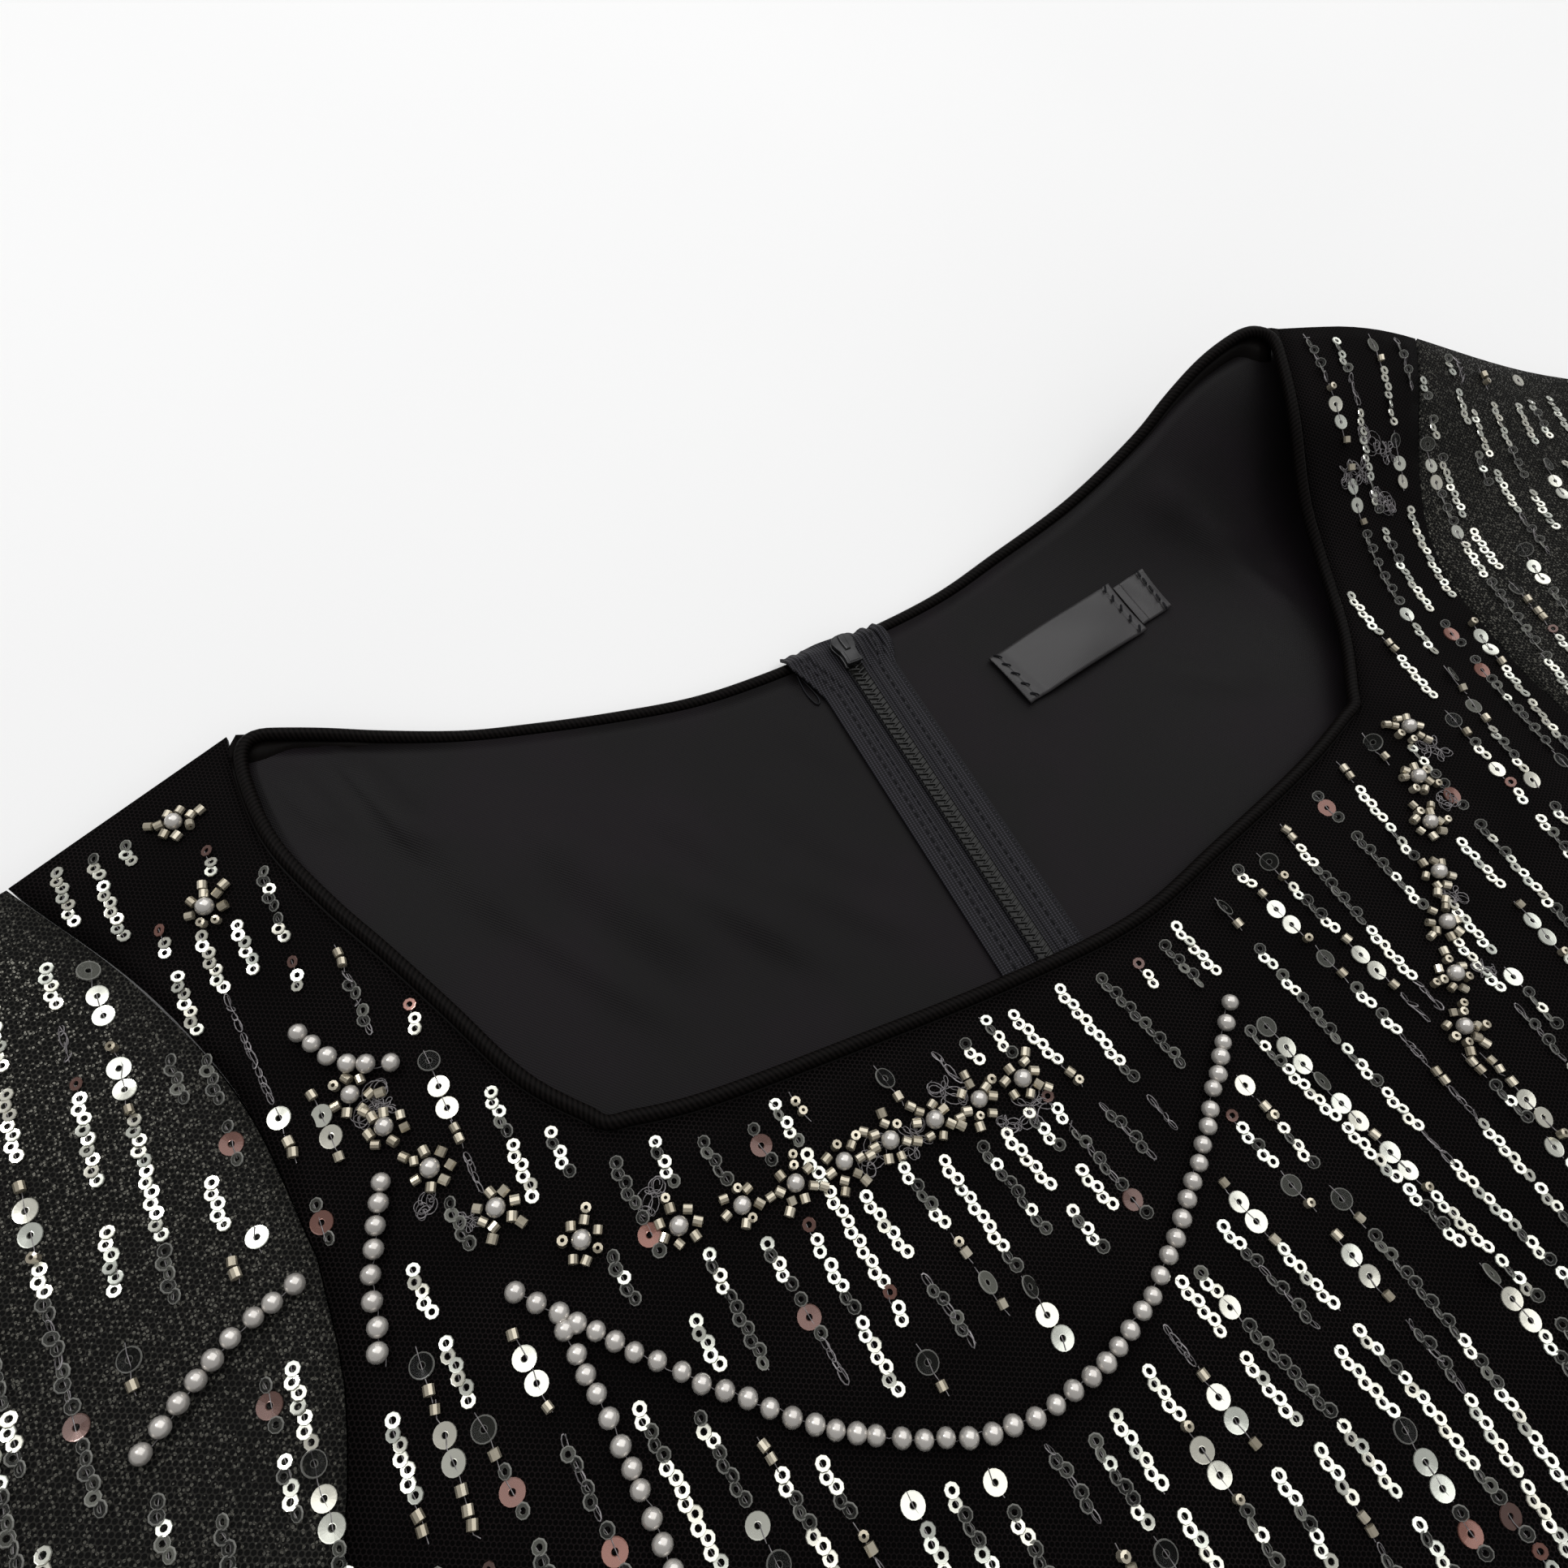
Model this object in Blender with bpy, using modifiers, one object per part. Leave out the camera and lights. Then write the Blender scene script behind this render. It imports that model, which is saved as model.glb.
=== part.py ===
"""Beaded maxi dress, laid on its back on a flat surface with the front up.

Metres, +Z up. +Y runs from the hem to the neck and +X to the right of a person looking down at the front.
The drawing below is worked in millimetres from the middle of the neck, 173 mm below the shoulders, and
put_down() turns it into metres about the point under the middle of the whole dress.
Layers from the surface up: outer back, back lining, zip, front. Every layer keeps a gap of 0.3 mm.
"""
import math
from collections import namedtuple

import bmesh
import bpy
import numpy as np

# Sizes in millimetres
MM = 0.001
MIDDLE_Y = 550.07            # from the middle of the neck to the middle of the whole dress
HEM_Y = -1277.0
UNDERARM_Y = -74.0
LINING_END_Y = -290.0
ZIP_END_Y = -250.0
CENTRE_BACK_X = -5.0

FRONT_WALL = 1.8
BACK_WALL = 1.5
LINING_WALL = 1.2
SLEEVE_WALL = 1.1
SEAM_GAP = 0.35
ARMHOLE_GAP = 0.45

PIPING_R = 1.6
PIPING_GAP = 0.4
TAPE_WIDTH = 11.0
TAPE_WALL = 1.0
COIL_WIDTH = 4.2
COIL_HEIGHT = 1.5
SLIDER = (6.6, 11.0, 3.4)
LABEL_SIZE = (44.0, 16.5)
SIZE_TAB = (11.0, 13.0)
LABEL_AT = (52.0, 117.5)
LABEL_TURN = math.radians(9.0)
LABEL_WALL = 1.0

LINING_FLOOR = BACK_WALL + 0.3
LINING_TOP = LINING_FLOOR + LINING_WALL
SHOULDER_RISE = 32.0         # the right shoulder stands up off the surface
NECK_REST = 7.0              # underside of the front over the zip
SKIRT_REST = 3.0             # underside of the front over the plain skirt

# How many cells each stretch has
STRAP_CELLS, STRAP_ROWS, ARMHOLE_ROWS = 4, 12, 8
NECK_FRONT_CELLS, NECK_BACK_CELLS, SHOULDER_CELLS = 18, 10, 2
SKIRT_ROWS, BACK_SKIRT_ROWS, LINING_ROWS, SLEEVE_ROWS = 18, 10, 4, 7

Point = namedtuple("Point", "x y")
Width = namedtuple("Width", "y half")
Fold = namedtuple("Fold", "across start_y full_y half_width height")
Crease = namedtuple("Crease", "x0 y0 x1 y1 half_width height")

# The neck edge, from the left shoulder down, across the front and up to the right shoulder
NECK_LEFT = [Point(-147.3, 175.5), Point(-148.8, 161), Point(-147.5, 143), Point(-141.5, 125),
             Point(-134.5, 109), Point(-127.5, 92), Point(-119, 71), Point(-108, 56)]
NECK_FRONT = [Point(-108, 56), Point(-89, 51.5), Point(-56, 48), Point(-19, 45), Point(17, 44.5),
              Point(48, 51), Point(83, 59.5), Point(108, 68)]
NECK_RIGHT = [Point(108, 68), Point(120.5, 85), Point(127, 98), Point(131, 111), Point(133, 123),
              Point(136, 136), Point(140.5, 151), Point(147, 169.5)]
# The neck edge of the back, from the centre back outwards
BACK_LEFT = [Point(-5, 142.3), Point(-27.6, 141.6), Point(-47.1, 142.6), Point(-68.6, 147), Point(-86, 151.6),
             Point(-100.4, 156), Point(-117.8, 163), Point(-131.1, 169), Point(-147.3, 175.5)]
BACK_RIGHT = [Point(-5, 142.3), Point(27, 145.5), Point(49, 149.6), Point(75, 154), Point(99, 160.5),
              Point(112, 165.5), Point(125, 169.5), Point(138.5, 171.2), Point(147, 169.5)]
# The armhole of one side, from the shoulder to the underarm; the other side mirrors it
ARMHOLE_TOP = [Point(199, 157), Point(181, 125), Point(169, 92), Point(165, 58)]
ARMHOLE_BOTTOM = [Point(165, 58), Point(168, 32), Point(180, 2), Point(203, -26), Point(234, -48),
                  Point(262, UNDERARM_Y)]
SLEEVE_TOP = [Point(199, 157), Point(260, 142), Point(320, 114), Point(372, 80)]
SLEEVE_UNDER = [Point(262, UNDERARM_Y), Point(293, -90), Point(325, -102)]
# Half of the flat width of the body, from the underarm to the hem
BODY = [Width(UNDERARM_Y, 262), Width(-160, 246), Width(-260, 236), Width(-360, 252), Width(-470, 284),
        Width(-700, 318), Width(-1000, 360), Width(HEM_Y, 400)]
# Long soft folds of the front: place across it as a share of the half width, start, full height
FOLDS = [Fold(-0.625, -330, -900, 0.125, 6.5), Fold(-0.25, -240, -800, 0.12, 8.5),
         Fold(0.0625, -420, -950, 0.11, 5.5), Fold(0.375, -260, -820, 0.13, 9.0),
         Fold(0.75, -380, -900, 0.11, 6.0)]
# Short folds of the front beside the armholes
ARM_FOLDS = [Crease(-150, 62, -205, -150, 22, 4.0), Crease(150, 50, 200, -160, 24, 4.5),
             Crease(-120, -40, -150, -230, 26, 3.0), Crease(112, -60, 140, -250, 26, 3.2)]
# Soft creases of the back lining inside the neck
LINING_CREASES = [Crease(-98, 138, -70, 74, 12, 2.2), Crease(-68, 128, -50, 70, 11, 1.8),
                  Crease(-120, 148, -104, 104, 11, 1.6), Crease(-40, 118, -30, 76, 10, 1.2)]

# Colours and finishes
Finish = namedtuple("Finish", "colour roughness metallic")
FINISHES = {
    "beaded_net": Finish((0.030, 0.028, 0.030), 0.55, 0.0),
    "lining_cloth": Finish((0.012, 0.010, 0.011), 0.62, 0.0),
    "sheer_net": Finish((0.075, 0.075, 0.072), 0.50, 0.0),
    "piping_cloth": Finish((0.010, 0.010, 0.010), 0.50, 0.0),
    "zip_tape": Finish((0.012, 0.013, 0.020), 0.70, 0.0),
    "zip_coil": Finish((0.014, 0.014, 0.016), 0.35, 0.0),
    "zip_metal": Finish((0.060, 0.060, 0.062), 0.35, 0.8),
    "label_cloth": Finish((0.010, 0.010, 0.011), 0.45, 0.0),
}


def smooth(value):
    """Ease from 0 to 1."""
    value = np.clip(value, 0.0, 1.0)
    return value * value * (3.0 - 2.0 * value)


def spline(points, cells):
    """Read a smooth curve through the points at equal steps of its length."""
    control = np.array(points, dtype=float)
    control = np.vstack([2 * control[0] - control[1], control, 2 * control[-1] - control[-2]])
    fine = []
    for i in range(1, len(control) - 2):
        a, b, c, d = control[i - 1:i + 3]
        for t in np.linspace(0, 1, 40, endpoint=False):
            fine.append(0.5 * (2 * b + (c - a) * t + (2 * a - 5 * b + 4 * c - d) * t**2
                               + (3 * b - a - 3 * c + d) * t**3))
    fine = np.vstack([fine, control[-2]])
    run = np.concatenate([[0], np.cumsum(np.linalg.norm(np.diff(fine, axis=0), axis=1))])
    at = np.linspace(0, run[-1], cells + 1)
    return np.column_stack([np.interp(at, run, fine[:, k]) for k in range(fine.shape[1])])


def moved_right(line, distance):
    """Move a line sideways, to the right of its own direction."""
    along = np.gradient(line, axis=0)
    along /= np.linalg.norm(along, axis=1)[:, None]
    return line + distance * np.column_stack([along[:, 1], -along[:, 0]])


def armhole(side):
    """The armhole, in even steps to the corner of the neck and in longer ones to the underarm."""
    line = np.vstack([spline(ARMHOLE_TOP, STRAP_ROWS), spline(ARMHOLE_BOTTOM, ARMHOLE_ROWS)[1:]])
    return line * np.array([side, 1.0])


def half_width(y):
    """Half of the flat width of the body at a height y."""
    curve = spline([(row.half, row.y) for row in BODY], 200)
    return np.interp(-np.asarray(y), -curve[:, 1], curve[:, 0])


def outline(side):
    """The sewn edge of one side: shoulder, armhole and side seam, every few millimetres."""
    neck = NECK_LEFT[0] if side < 0 else NECK_RIGHT[-1]
    sewn = np.vstack([spline(ARMHOLE_TOP, 30), spline(ARMHOLE_BOTTOM, 50)[1:]]) * np.array([side, 1.0])
    shoulder = np.linspace(neck, sewn[0], 16)
    seam_y = np.linspace(UNDERARM_Y, HEM_Y, 260)
    seam = np.column_stack([side * half_width(seam_y), seam_y])
    return np.vstack([shoulder, sewn, seam])


EDGES = np.vstack([outline(-1), outline(1)])


def edge_distance(x, y):
    """How far a point of the front lies from its sewn edges."""
    points = np.stack([np.asarray(x, dtype=float), np.asarray(y, dtype=float)], axis=-1)
    return np.sqrt(((points[..., None, :] - EDGES) ** 2).sum(-1).min(-1))


def shoulder_rise(x, y, foot_y):
    """Lift of the right shoulder, which stands up off the surface above foot_y."""
    across = smooth((x - 12.0) / 138.0) * (1.0 - smooth((x - 165.0) / 130.0))
    return SHOULDER_RISE * across * smooth((y - foot_y) / (175.0 - foot_y)) ** 1.5


def ridge(x, y, crease):
    """Height of one straight soft crease at a point."""
    start, end = np.array([crease.x0, crease.y0]), np.array([crease.x1, crease.y1])
    length = np.linalg.norm(end - start)
    along = ((x - start[0]) * (end - start)[0] + (y - start[1]) * (end - start)[1]) / length**2
    aside = np.abs((x - start[0]) * (end - start)[1] - (y - start[1]) * (end - start)[0]) / length
    profile = np.cos(np.clip(aside / crease.half_width, 0, 1) * math.pi / 2) ** 2
    return crease.height * profile * smooth(along / 0.3) * smooth((1 - along) / 0.3)


def front_folds(x, y):
    """Height of the folds of the front above its resting place."""
    share = x / np.where(y < UNDERARM_Y, half_width(np.minimum(y, UNDERARM_Y)), 262.0)
    height = np.zeros_like(share)
    for fold in FOLDS:
        aside = np.clip(np.abs(share - fold.across) / fold.half_width, 0, 1)
        opening = smooth((fold.start_y - y) / (fold.start_y - fold.full_y))
        height += fold.height * np.cos(aside * math.pi / 2) ** 2 * opening
    for crease in ARM_FOLDS:
        height += ridge(x, y, crease)
    return height


def back_floor(x, y):
    """Underside of the outer back: flat on the surface but for the raised shoulder."""
    return shoulder_rise(x, y, 100.0)


def steepness(x, y):
    """Height that a wall of unit thickness takes up where the shoulder slopes."""
    across = back_floor(x + 0.5, y) - back_floor(x - 0.5, y)
    down = back_floor(x, y + 0.5) - back_floor(x, y - 0.5)
    return np.sqrt(1.0 + across**2 + down**2)


def lining_floor(x, y):
    creases = sum(ridge(x, y, crease) for crease in LINING_CREASES)
    return back_floor(x, y) + LINING_FLOOR * steepness(x, y) + creases


def lining_top(x, y):
    return lining_floor(x, y) + LINING_WALL * steepness(x, y)


def front_floor(x, y):
    """Underside of the front, which lies on the lining at its edges and over the zip in the middle."""
    lift = shoulder_rise(x, y, 80.0)
    over_lining = smooth((y - (LINING_END_Y - 60.0)) / 50.0)
    edge = BACK_WALL + SEAM_GAP + over_lining * (LINING_TOP - BACK_WALL)
    middle = SKIRT_REST + (NECK_REST - SKIRT_REST) * smooth((y - (ZIP_END_Y - 110.0)) / 90.0)
    distance = edge_distance(x, y)
    rest = edge + (middle - edge) * smooth(distance / 36.0)
    return lift * 1.05 + rest * steepness(x, y) + front_folds(x, y) * smooth((distance - 8.0) / 30.0)


def patch(top, bottom, left, right):
    """Fill four edges with rows of points that run from the top edge to the bottom one."""
    across, down = len(top) - 1, len(left) - 1
    grid = np.zeros((down + 1, across + 1, 2))
    for i in range(down + 1):
        for j in range(across + 1):
            v, u = i / down, j / across
            ruled = (1 - v) * top[j] + v * bottom[j] + (1 - u) * left[i] + u * right[i]
            corners = ((1 - v) * ((1 - u) * top[0] + u * top[-1]) + v * ((1 - u) * bottom[0] + u * bottom[-1]))
            grid[i, j] = ruled - corners
    return grid


def put_down(points):
    """Turn millimetres about the neck into metres about the point under the middle of the dress."""
    return (np.asarray(points, dtype=float) + np.array([0.0, MIDDLE_Y, 0.0])) * MM


def new_object(name, data, material, parts):
    """Link an object with its own material."""
    finish = FINISHES[material]
    shader = bpy.data.materials.new(name)
    shader.use_nodes = True
    surface = shader.node_tree.nodes["Principled BSDF"]
    surface.inputs["Base Color"].default_value = (*finish.colour, 1.0)
    surface.inputs["Roughness"].default_value = finish.roughness
    surface.inputs["Metallic"].default_value = finish.metallic
    data.materials.append(shader)
    obj = bpy.data.objects.new(name, data)
    parts.objects.link(obj)
    return obj


def loft(name, patches, closed, material, wall, parts, flipped=False):
    """Join rows of points into an open cloth surface of one or more patches and give it a wall.

    The wall is built upwards on an open surface, and inwards on a closed tube.
    """
    mesh = bpy.data.meshes.new(name)
    builder = bmesh.new()
    for rows in patches:
        vertices = [[builder.verts.new(tuple(point)) for point in put_down(row)] for row in rows]
        across = len(rows[0])
        for upper, lower in zip(vertices[:-1], vertices[1:]):
            for j in range(across if closed else across - 1):
                k = (j + 1) % across
                corners = (upper[j], lower[j], lower[k], upper[k])
                builder.faces.new(corners[::-1] if flipped else corners)
    bmesh.ops.remove_doubles(builder, verts=builder.verts, dist=0.02 * MM)
    builder.to_mesh(mesh)
    builder.free()
    mesh.shade_smooth()
    obj = new_object(name, mesh, material, parts)
    shell = obj.modifiers.new("wall", "SOLIDIFY")
    shell.thickness = wall * MM
    shell.offset = -1.0 if closed else 1.0
    shell.use_even_offset = True
    return obj


def cord(name, points, radius, material, parts):
    """A round cord along the points."""
    data = bpy.data.curves.new(name, "CURVE")
    data.dimensions = "3D"
    data.bevel_depth = radius * MM
    data.bevel_resolution = 2
    data.use_fill_caps = True
    line = data.splines.new("POLY")
    line.points.add(len(points) - 1)
    for target, point in zip(line.points, put_down(points)):
        target.co = (*point, 1.0)
    return new_object(name, data, material, parts)


def with_height(plan, height):
    return np.dstack([plan[..., 0], plan[..., 1], height(plan[..., 0], plan[..., 1])])


def skirt_rows(first_row, end_y, cells):
    """Rows of the body below the underarm, which keep each point's share of the width."""
    share = first_row[:, 0] / half_width(UNDERARM_Y)
    ys = np.linspace(UNDERARM_Y, end_y, cells + 1)[1:]
    return np.array([np.column_stack([share * half_width(y), np.full(len(share), y)]) for y in ys])


def neck_line():
    """The front neck edge, with the same steps for the cloth and for its piping."""
    return np.vstack([spline(NECK_LEFT, STRAP_ROWS), spline(NECK_FRONT, NECK_FRONT_CELLS)[1:],
                      spline(NECK_RIGHT, STRAP_ROWS)[1:]])


def make_front(parts):
    """The front, cut in one piece: two straps beside the neck and the body below it."""
    neck = moved_right(neck_line(), PIPING_R + PIPING_GAP)
    left, right = armhole(-1), armhole(1)
    sides = STRAP_ROWS, STRAP_ROWS + NECK_FRONT_CELLS
    neck_right = neck[sides[1]:][::-1]
    strap_left = np.array([np.linspace(left[i], neck[i], STRAP_CELLS + 1) for i in range(STRAP_ROWS + 1)])
    strap_right = np.array([np.linspace(neck_right[i], right[i], STRAP_CELLS + 1)
                            for i in range(STRAP_ROWS + 1)])
    top = np.vstack([strap_left[-1], neck[sides[0] + 1:sides[1]], strap_right[-1]])
    # The corners of the neck spread to 150 mm from the middle at the underarm
    spread = np.concatenate([np.linspace(-262, -150, STRAP_CELLS + 1)[:-1],
                             np.linspace(-150, 150, NECK_FRONT_CELLS + 1),
                             np.linspace(150, 262, STRAP_CELLS + 1)[1:]])
    bottom = np.column_stack([spread, np.full(len(spread), UNDERARM_Y)])
    yoke = patch(top, bottom, left[STRAP_ROWS:], right[STRAP_ROWS:])
    body = np.concatenate([yoke, skirt_rows(yoke[-1], HEM_Y, SKIRT_ROWS)])
    patches = [with_height(plan, front_floor) for plan in (strap_left, strap_right, body)]
    return loft("front", patches, False, "beaded_net", FRONT_WALL, parts)


def back_plan(side, end_y, cells):
    """Plan of one half of the back, from the centre back to the side seam."""
    neck = spline(BACK_LEFT if side < 0 else BACK_RIGHT, NECK_BACK_CELLS)
    neck = moved_right(neck, side * (PIPING_R + PIPING_GAP))
    seam = CENTRE_BACK_X + side * 0.2
    neck[0, 0] = seam
    tip = armhole(side)
    top = np.vstack([neck, np.linspace(neck[-1], tip[0], SHOULDER_CELLS + 1)[1:]])
    spread = np.concatenate([np.linspace(seam, side * 212, NECK_BACK_CELLS + 1),
                             np.linspace(side * 212, side * 262, SHOULDER_CELLS + 1)[1:]])
    bottom = np.column_stack([spread, np.full(len(spread), UNDERARM_Y)])
    centre = np.linspace(top[0], bottom[0], len(tip))
    bodice = patch(top, bottom, centre, tip)
    below = skirt_rows(bodice[-1], end_y, cells)
    # The centre-back seam runs straight down, so the shares start from it and not from the middle
    for row in below:
        reach = (bodice[-1][:, 0] - seam) / (bodice[-1][-1, 0] - seam)
        row[:, 0] = seam + reach * (row[-1, 0] - seam)
    return np.concatenate([bodice, below])


def make_back(side, parts):
    """One half of the outer back and of its lining."""
    word = "left" if side < 0 else "right"
    outer = with_height(back_plan(side, HEM_Y, BACK_SKIRT_ROWS), back_floor)
    loft("back_" + word, [outer], False, "beaded_net", BACK_WALL, parts, flipped=side < 0)
    inner = with_height(back_plan(side, LINING_END_Y, LINING_ROWS), lining_floor)
    loft("back_lining_" + word, [inner], False, "lining_cloth", LINING_WALL, parts, flipped=side < 0)


def make_sleeve(side, parts):
    """A short flat sleeve: a tube of rings from the armhole to the cuff."""
    # A sloping front leans its edge over the seam, so the sleeve starts that much further out
    seam = armhole(1)
    lean = FRONT_WALL * np.sqrt(1.0 - steepness(side * seam[:, 0], seam[:, 1]) ** -2)
    start = moved_right(seam, -(ARMHOLE_GAP + 1.1 * lean)[:, None])
    shoulder, under = spline(SLEEVE_TOP, SLEEVE_ROWS), spline(SLEEVE_UNDER, SLEEVE_ROWS)
    shoulder += np.linspace(start[0] - shoulder[0], (0, 0), SLEEVE_ROWS + 1)
    under += np.linspace(start[-1] - under[0], (0, 0), SLEEVE_ROWS + 1)
    cuff = np.linspace(shoulder[-1], under[-1], len(start))
    plan = patch(start, cuff, shoulder, under)
    rings = []
    for i, row in enumerate(plan):
        reach = i / SLEEVE_ROWS
        x, y = side * row[:, 0], row[:, 1]
        share = np.linspace(0, 1, len(row))
        top = shoulder_rise(x, y, 80.0) * 1.05 + (LINING_TOP + SEAM_GAP + FRONT_WALL) * steepness(x, y)
        top += 1.5 * np.sin(math.pi * share) * smooth(3 * reach)
        low = back_floor(x, y)
        bulge = 2.4 * smooth(3 * reach)
        over = np.column_stack([x, y, top])
        below = np.column_stack([x, y, low])[::-1]
        outward = (row[0] - row[-1]) / np.linalg.norm(row[0] - row[-1]) * np.array([side, 1.0])
        high = np.array([[*(over[0, :2] + bulge * outward), (top[0] + low[0]) / 2]])
        deep = np.array([[*(over[-1, :2] - bulge * outward), (top[-1] + low[-1]) / 2]])
        rings.append(np.vstack([over, deep, below, high]))
    word = "left" if side < 0 else "right"
    loft("sleeve_" + word, [rings], True, "sheer_net", SLEEVE_WALL, parts, flipped=side > 0)


def make_piping(parts):
    """Corded piping all round the neck, in one front piece and two back pieces."""
    front = neck_line()
    height = front_floor(front[:, 0], front[:, 1]) + PIPING_R + 0.05
    turn = {}
    for side, table in ((-1, BACK_LEFT), (1, BACK_RIGHT)):
        back = spline(table, 24)[::-1]
        low = back_floor(back[:, 0], back[:, 1]) + PIPING_R + 0.2
        shoulder_height = height[0] if side < 0 else height[-1]
        blend = smooth(np.linspace(0, 1, len(back)) / 0.4)
        back = np.column_stack([back, (1 - blend) * (low + shoulder_height - low[0]) + blend * low])
        turn[side] = back
        # The back piece starts past the shoulder, where the front piece ends, and stops at the zip tape
        first = back[1] + (back[2] - back[1]) * (0.5 / np.linalg.norm(back[2] - back[1]))
        keep = np.abs(back[:, 0] - CENTRE_BACK_X) > 7.5
        word = "left" if side < 0 else "right"
        cord("neck_piping_back_" + word, np.vstack([first, back[2:][keep[2:]]]), PIPING_R, "piping_cloth", parts)
    line = np.column_stack([front, height])
    line = np.vstack([turn[-1][1], line, turn[1][1]])
    cord("neck_piping_front", line, PIPING_R, "piping_cloth", parts)


def make_zip(parts):
    """Concealed zip down the centre back: two tapes, the coil between them and the closed slider."""
    top_y = BACK_LEFT[0].y - 0.5
    tape_floor = LINING_TOP + 0.3
    for side, word in ((-1, "left"), (1, "right")):
        near, far = CENTRE_BACK_X + side * 0.2, CENTRE_BACK_X + side * TAPE_WIDTH
        rows = []
        for y in np.linspace(top_y, ZIP_END_Y, 14):
            xs = np.linspace(near, far, 4)
            rows.append(np.column_stack([xs, np.full(4, y), tape_floor + back_floor(xs, y)]))
        loft("zip_tape_" + word, [rows], False, "zip_tape", TAPE_WALL, parts, flipped=side < 0)
    coil_floor = tape_floor + TAPE_WALL + 0.3
    rows = []
    for y in np.linspace(top_y - SLIDER[1] - 0.6, ZIP_END_Y + 4.0, 12):
        turn = np.linspace(0, 2 * math.pi, 10, endpoint=False)
        rows.append(np.column_stack([CENTRE_BACK_X + COIL_WIDTH / 2 * np.cos(turn), np.full(10, y),
                                     coil_floor + COIL_HEIGHT / 2 * (1 + np.sin(turn))]))
    mesh = bpy.data.meshes.new("zip_coil")
    builder = bmesh.new()
    vertices = [[builder.verts.new(tuple(point)) for point in put_down(row)] for row in rows]
    for upper, lower in zip(vertices[:-1], vertices[1:]):
        for j in range(10):
            builder.faces.new((upper[j], upper[(j + 1) % 10], lower[(j + 1) % 10], lower[j]))
    builder.faces.new(vertices[0][::-1])
    builder.faces.new(vertices[-1])
    bmesh.ops.recalc_face_normals(builder, faces=builder.faces)
    builder.to_mesh(mesh)
    builder.free()
    new_object("zip_coil", mesh, "zip_coil", parts)

    mesh = bpy.data.meshes.new("zip_slider")
    builder = bmesh.new()
    bmesh.ops.create_cube(builder, size=1.0)
    for vertex in builder.verts:
        narrow = 0.72 if vertex.co.y < 0 else 1.0
        vertex.co.x *= SLIDER[0] * MM * narrow
        vertex.co.y *= SLIDER[1] * MM
        vertex.co.z *= SLIDER[2] * MM
    builder.to_mesh(mesh)
    builder.free()
    slider = new_object("zip_slider", mesh, "zip_metal", parts)
    slider.location = put_down((CENTRE_BACK_X, top_y - SLIDER[1] / 2, coil_floor + SLIDER[2] / 2))
    edge = slider.modifiers.new("rounded", "BEVEL")
    edge.width = 0.9 * MM
    edge.segments = 2


def label_rows(centre_along, size):
    """Points of a label on the lining, moved out of it, with its middle standing up a little."""
    along = np.array([math.cos(LABEL_TURN), math.sin(LABEL_TURN)])
    up = np.array([-along[1], along[0]])
    rows = []
    for v in np.linspace(0.5, -0.5, 4):
        row = []
        for u in np.linspace(-0.5, 0.5, 9):
            x, y = np.array(LABEL_AT) + along * (centre_along + u * size[0]) + up * v * size[1]
            arch = 1.3 * math.cos(u * math.pi) * (1 - (2 * v) ** 2)
            row.append((x, y, lining_top(x, y) + 0.45 + arch))
        rows.append(row)
    return np.array(rows)


def make_labels(parts):
    """The woven neck label and the small size tab beside it, both blank."""
    tab_at = LABEL_SIZE[0] / 2 + 0.4 + SIZE_TAB[0] / 2
    loft("neck_label", [label_rows(0.0, LABEL_SIZE)], False, "label_cloth", LABEL_WALL, parts)
    loft("size_tab", [label_rows(tab_at, SIZE_TAB)], False, "label_cloth", LABEL_WALL, parts)


def main():
    for obj in list(bpy.data.objects):
        bpy.data.objects.remove(obj, do_unlink=True)
    parts = bpy.data.collections.new("beaded_maxi_dress")
    bpy.context.scene.collection.children.link(parts)
    make_front(parts)
    for side in (-1, 1):
        make_back(side, parts)
        make_sleeve(side, parts)
    make_piping(parts)
    make_zip(parts)
    make_labels(parts)


main()
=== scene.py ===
"""Beaded maxi dress, laid on its back: its cloth, piping, zip, labels and beadwork, in soft light.

Shapes are worked in millimetres about the middle of the neck and put down in metres in the model's frame.
"""
import logging
import math
from dataclasses import dataclass, field
from enum import Enum
from typing import Callable, NamedTuple, Optional, Sequence

import bmesh
import bpy
import numpy as np
from mathutils import Matrix, Vector
from mathutils.bvhtree import BVHTree


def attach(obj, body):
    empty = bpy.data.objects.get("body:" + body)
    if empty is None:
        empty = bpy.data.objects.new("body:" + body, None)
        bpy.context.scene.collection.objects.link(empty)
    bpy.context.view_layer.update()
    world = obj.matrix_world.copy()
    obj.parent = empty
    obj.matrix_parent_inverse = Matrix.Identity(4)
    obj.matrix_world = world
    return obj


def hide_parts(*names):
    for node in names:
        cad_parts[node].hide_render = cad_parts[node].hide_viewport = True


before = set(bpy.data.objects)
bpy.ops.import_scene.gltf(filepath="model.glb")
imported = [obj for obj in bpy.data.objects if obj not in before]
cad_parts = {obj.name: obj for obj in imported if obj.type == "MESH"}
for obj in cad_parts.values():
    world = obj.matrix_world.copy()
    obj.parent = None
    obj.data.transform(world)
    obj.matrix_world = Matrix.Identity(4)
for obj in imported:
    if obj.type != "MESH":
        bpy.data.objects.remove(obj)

LOG = logging.getLogger("beaded_maxi_dress")
MM = 0.001
MIDDLE_Y = 550.07
Height = Callable[[np.ndarray, np.ndarray], np.ndarray]


class Point(NamedTuple):
    """A point of a cut line, in millimetres."""

    x: float
    y: float


class Width(NamedTuple):
    """Half of the flat width of the body at a height, in millimetres."""

    y: float
    half: float


class Fold(NamedTuple):
    """A long soft fold of the front; across and half_width are shares of the body's half width."""

    across: float
    start_y: float
    full_y: float
    half_width: float
    height: float


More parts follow.
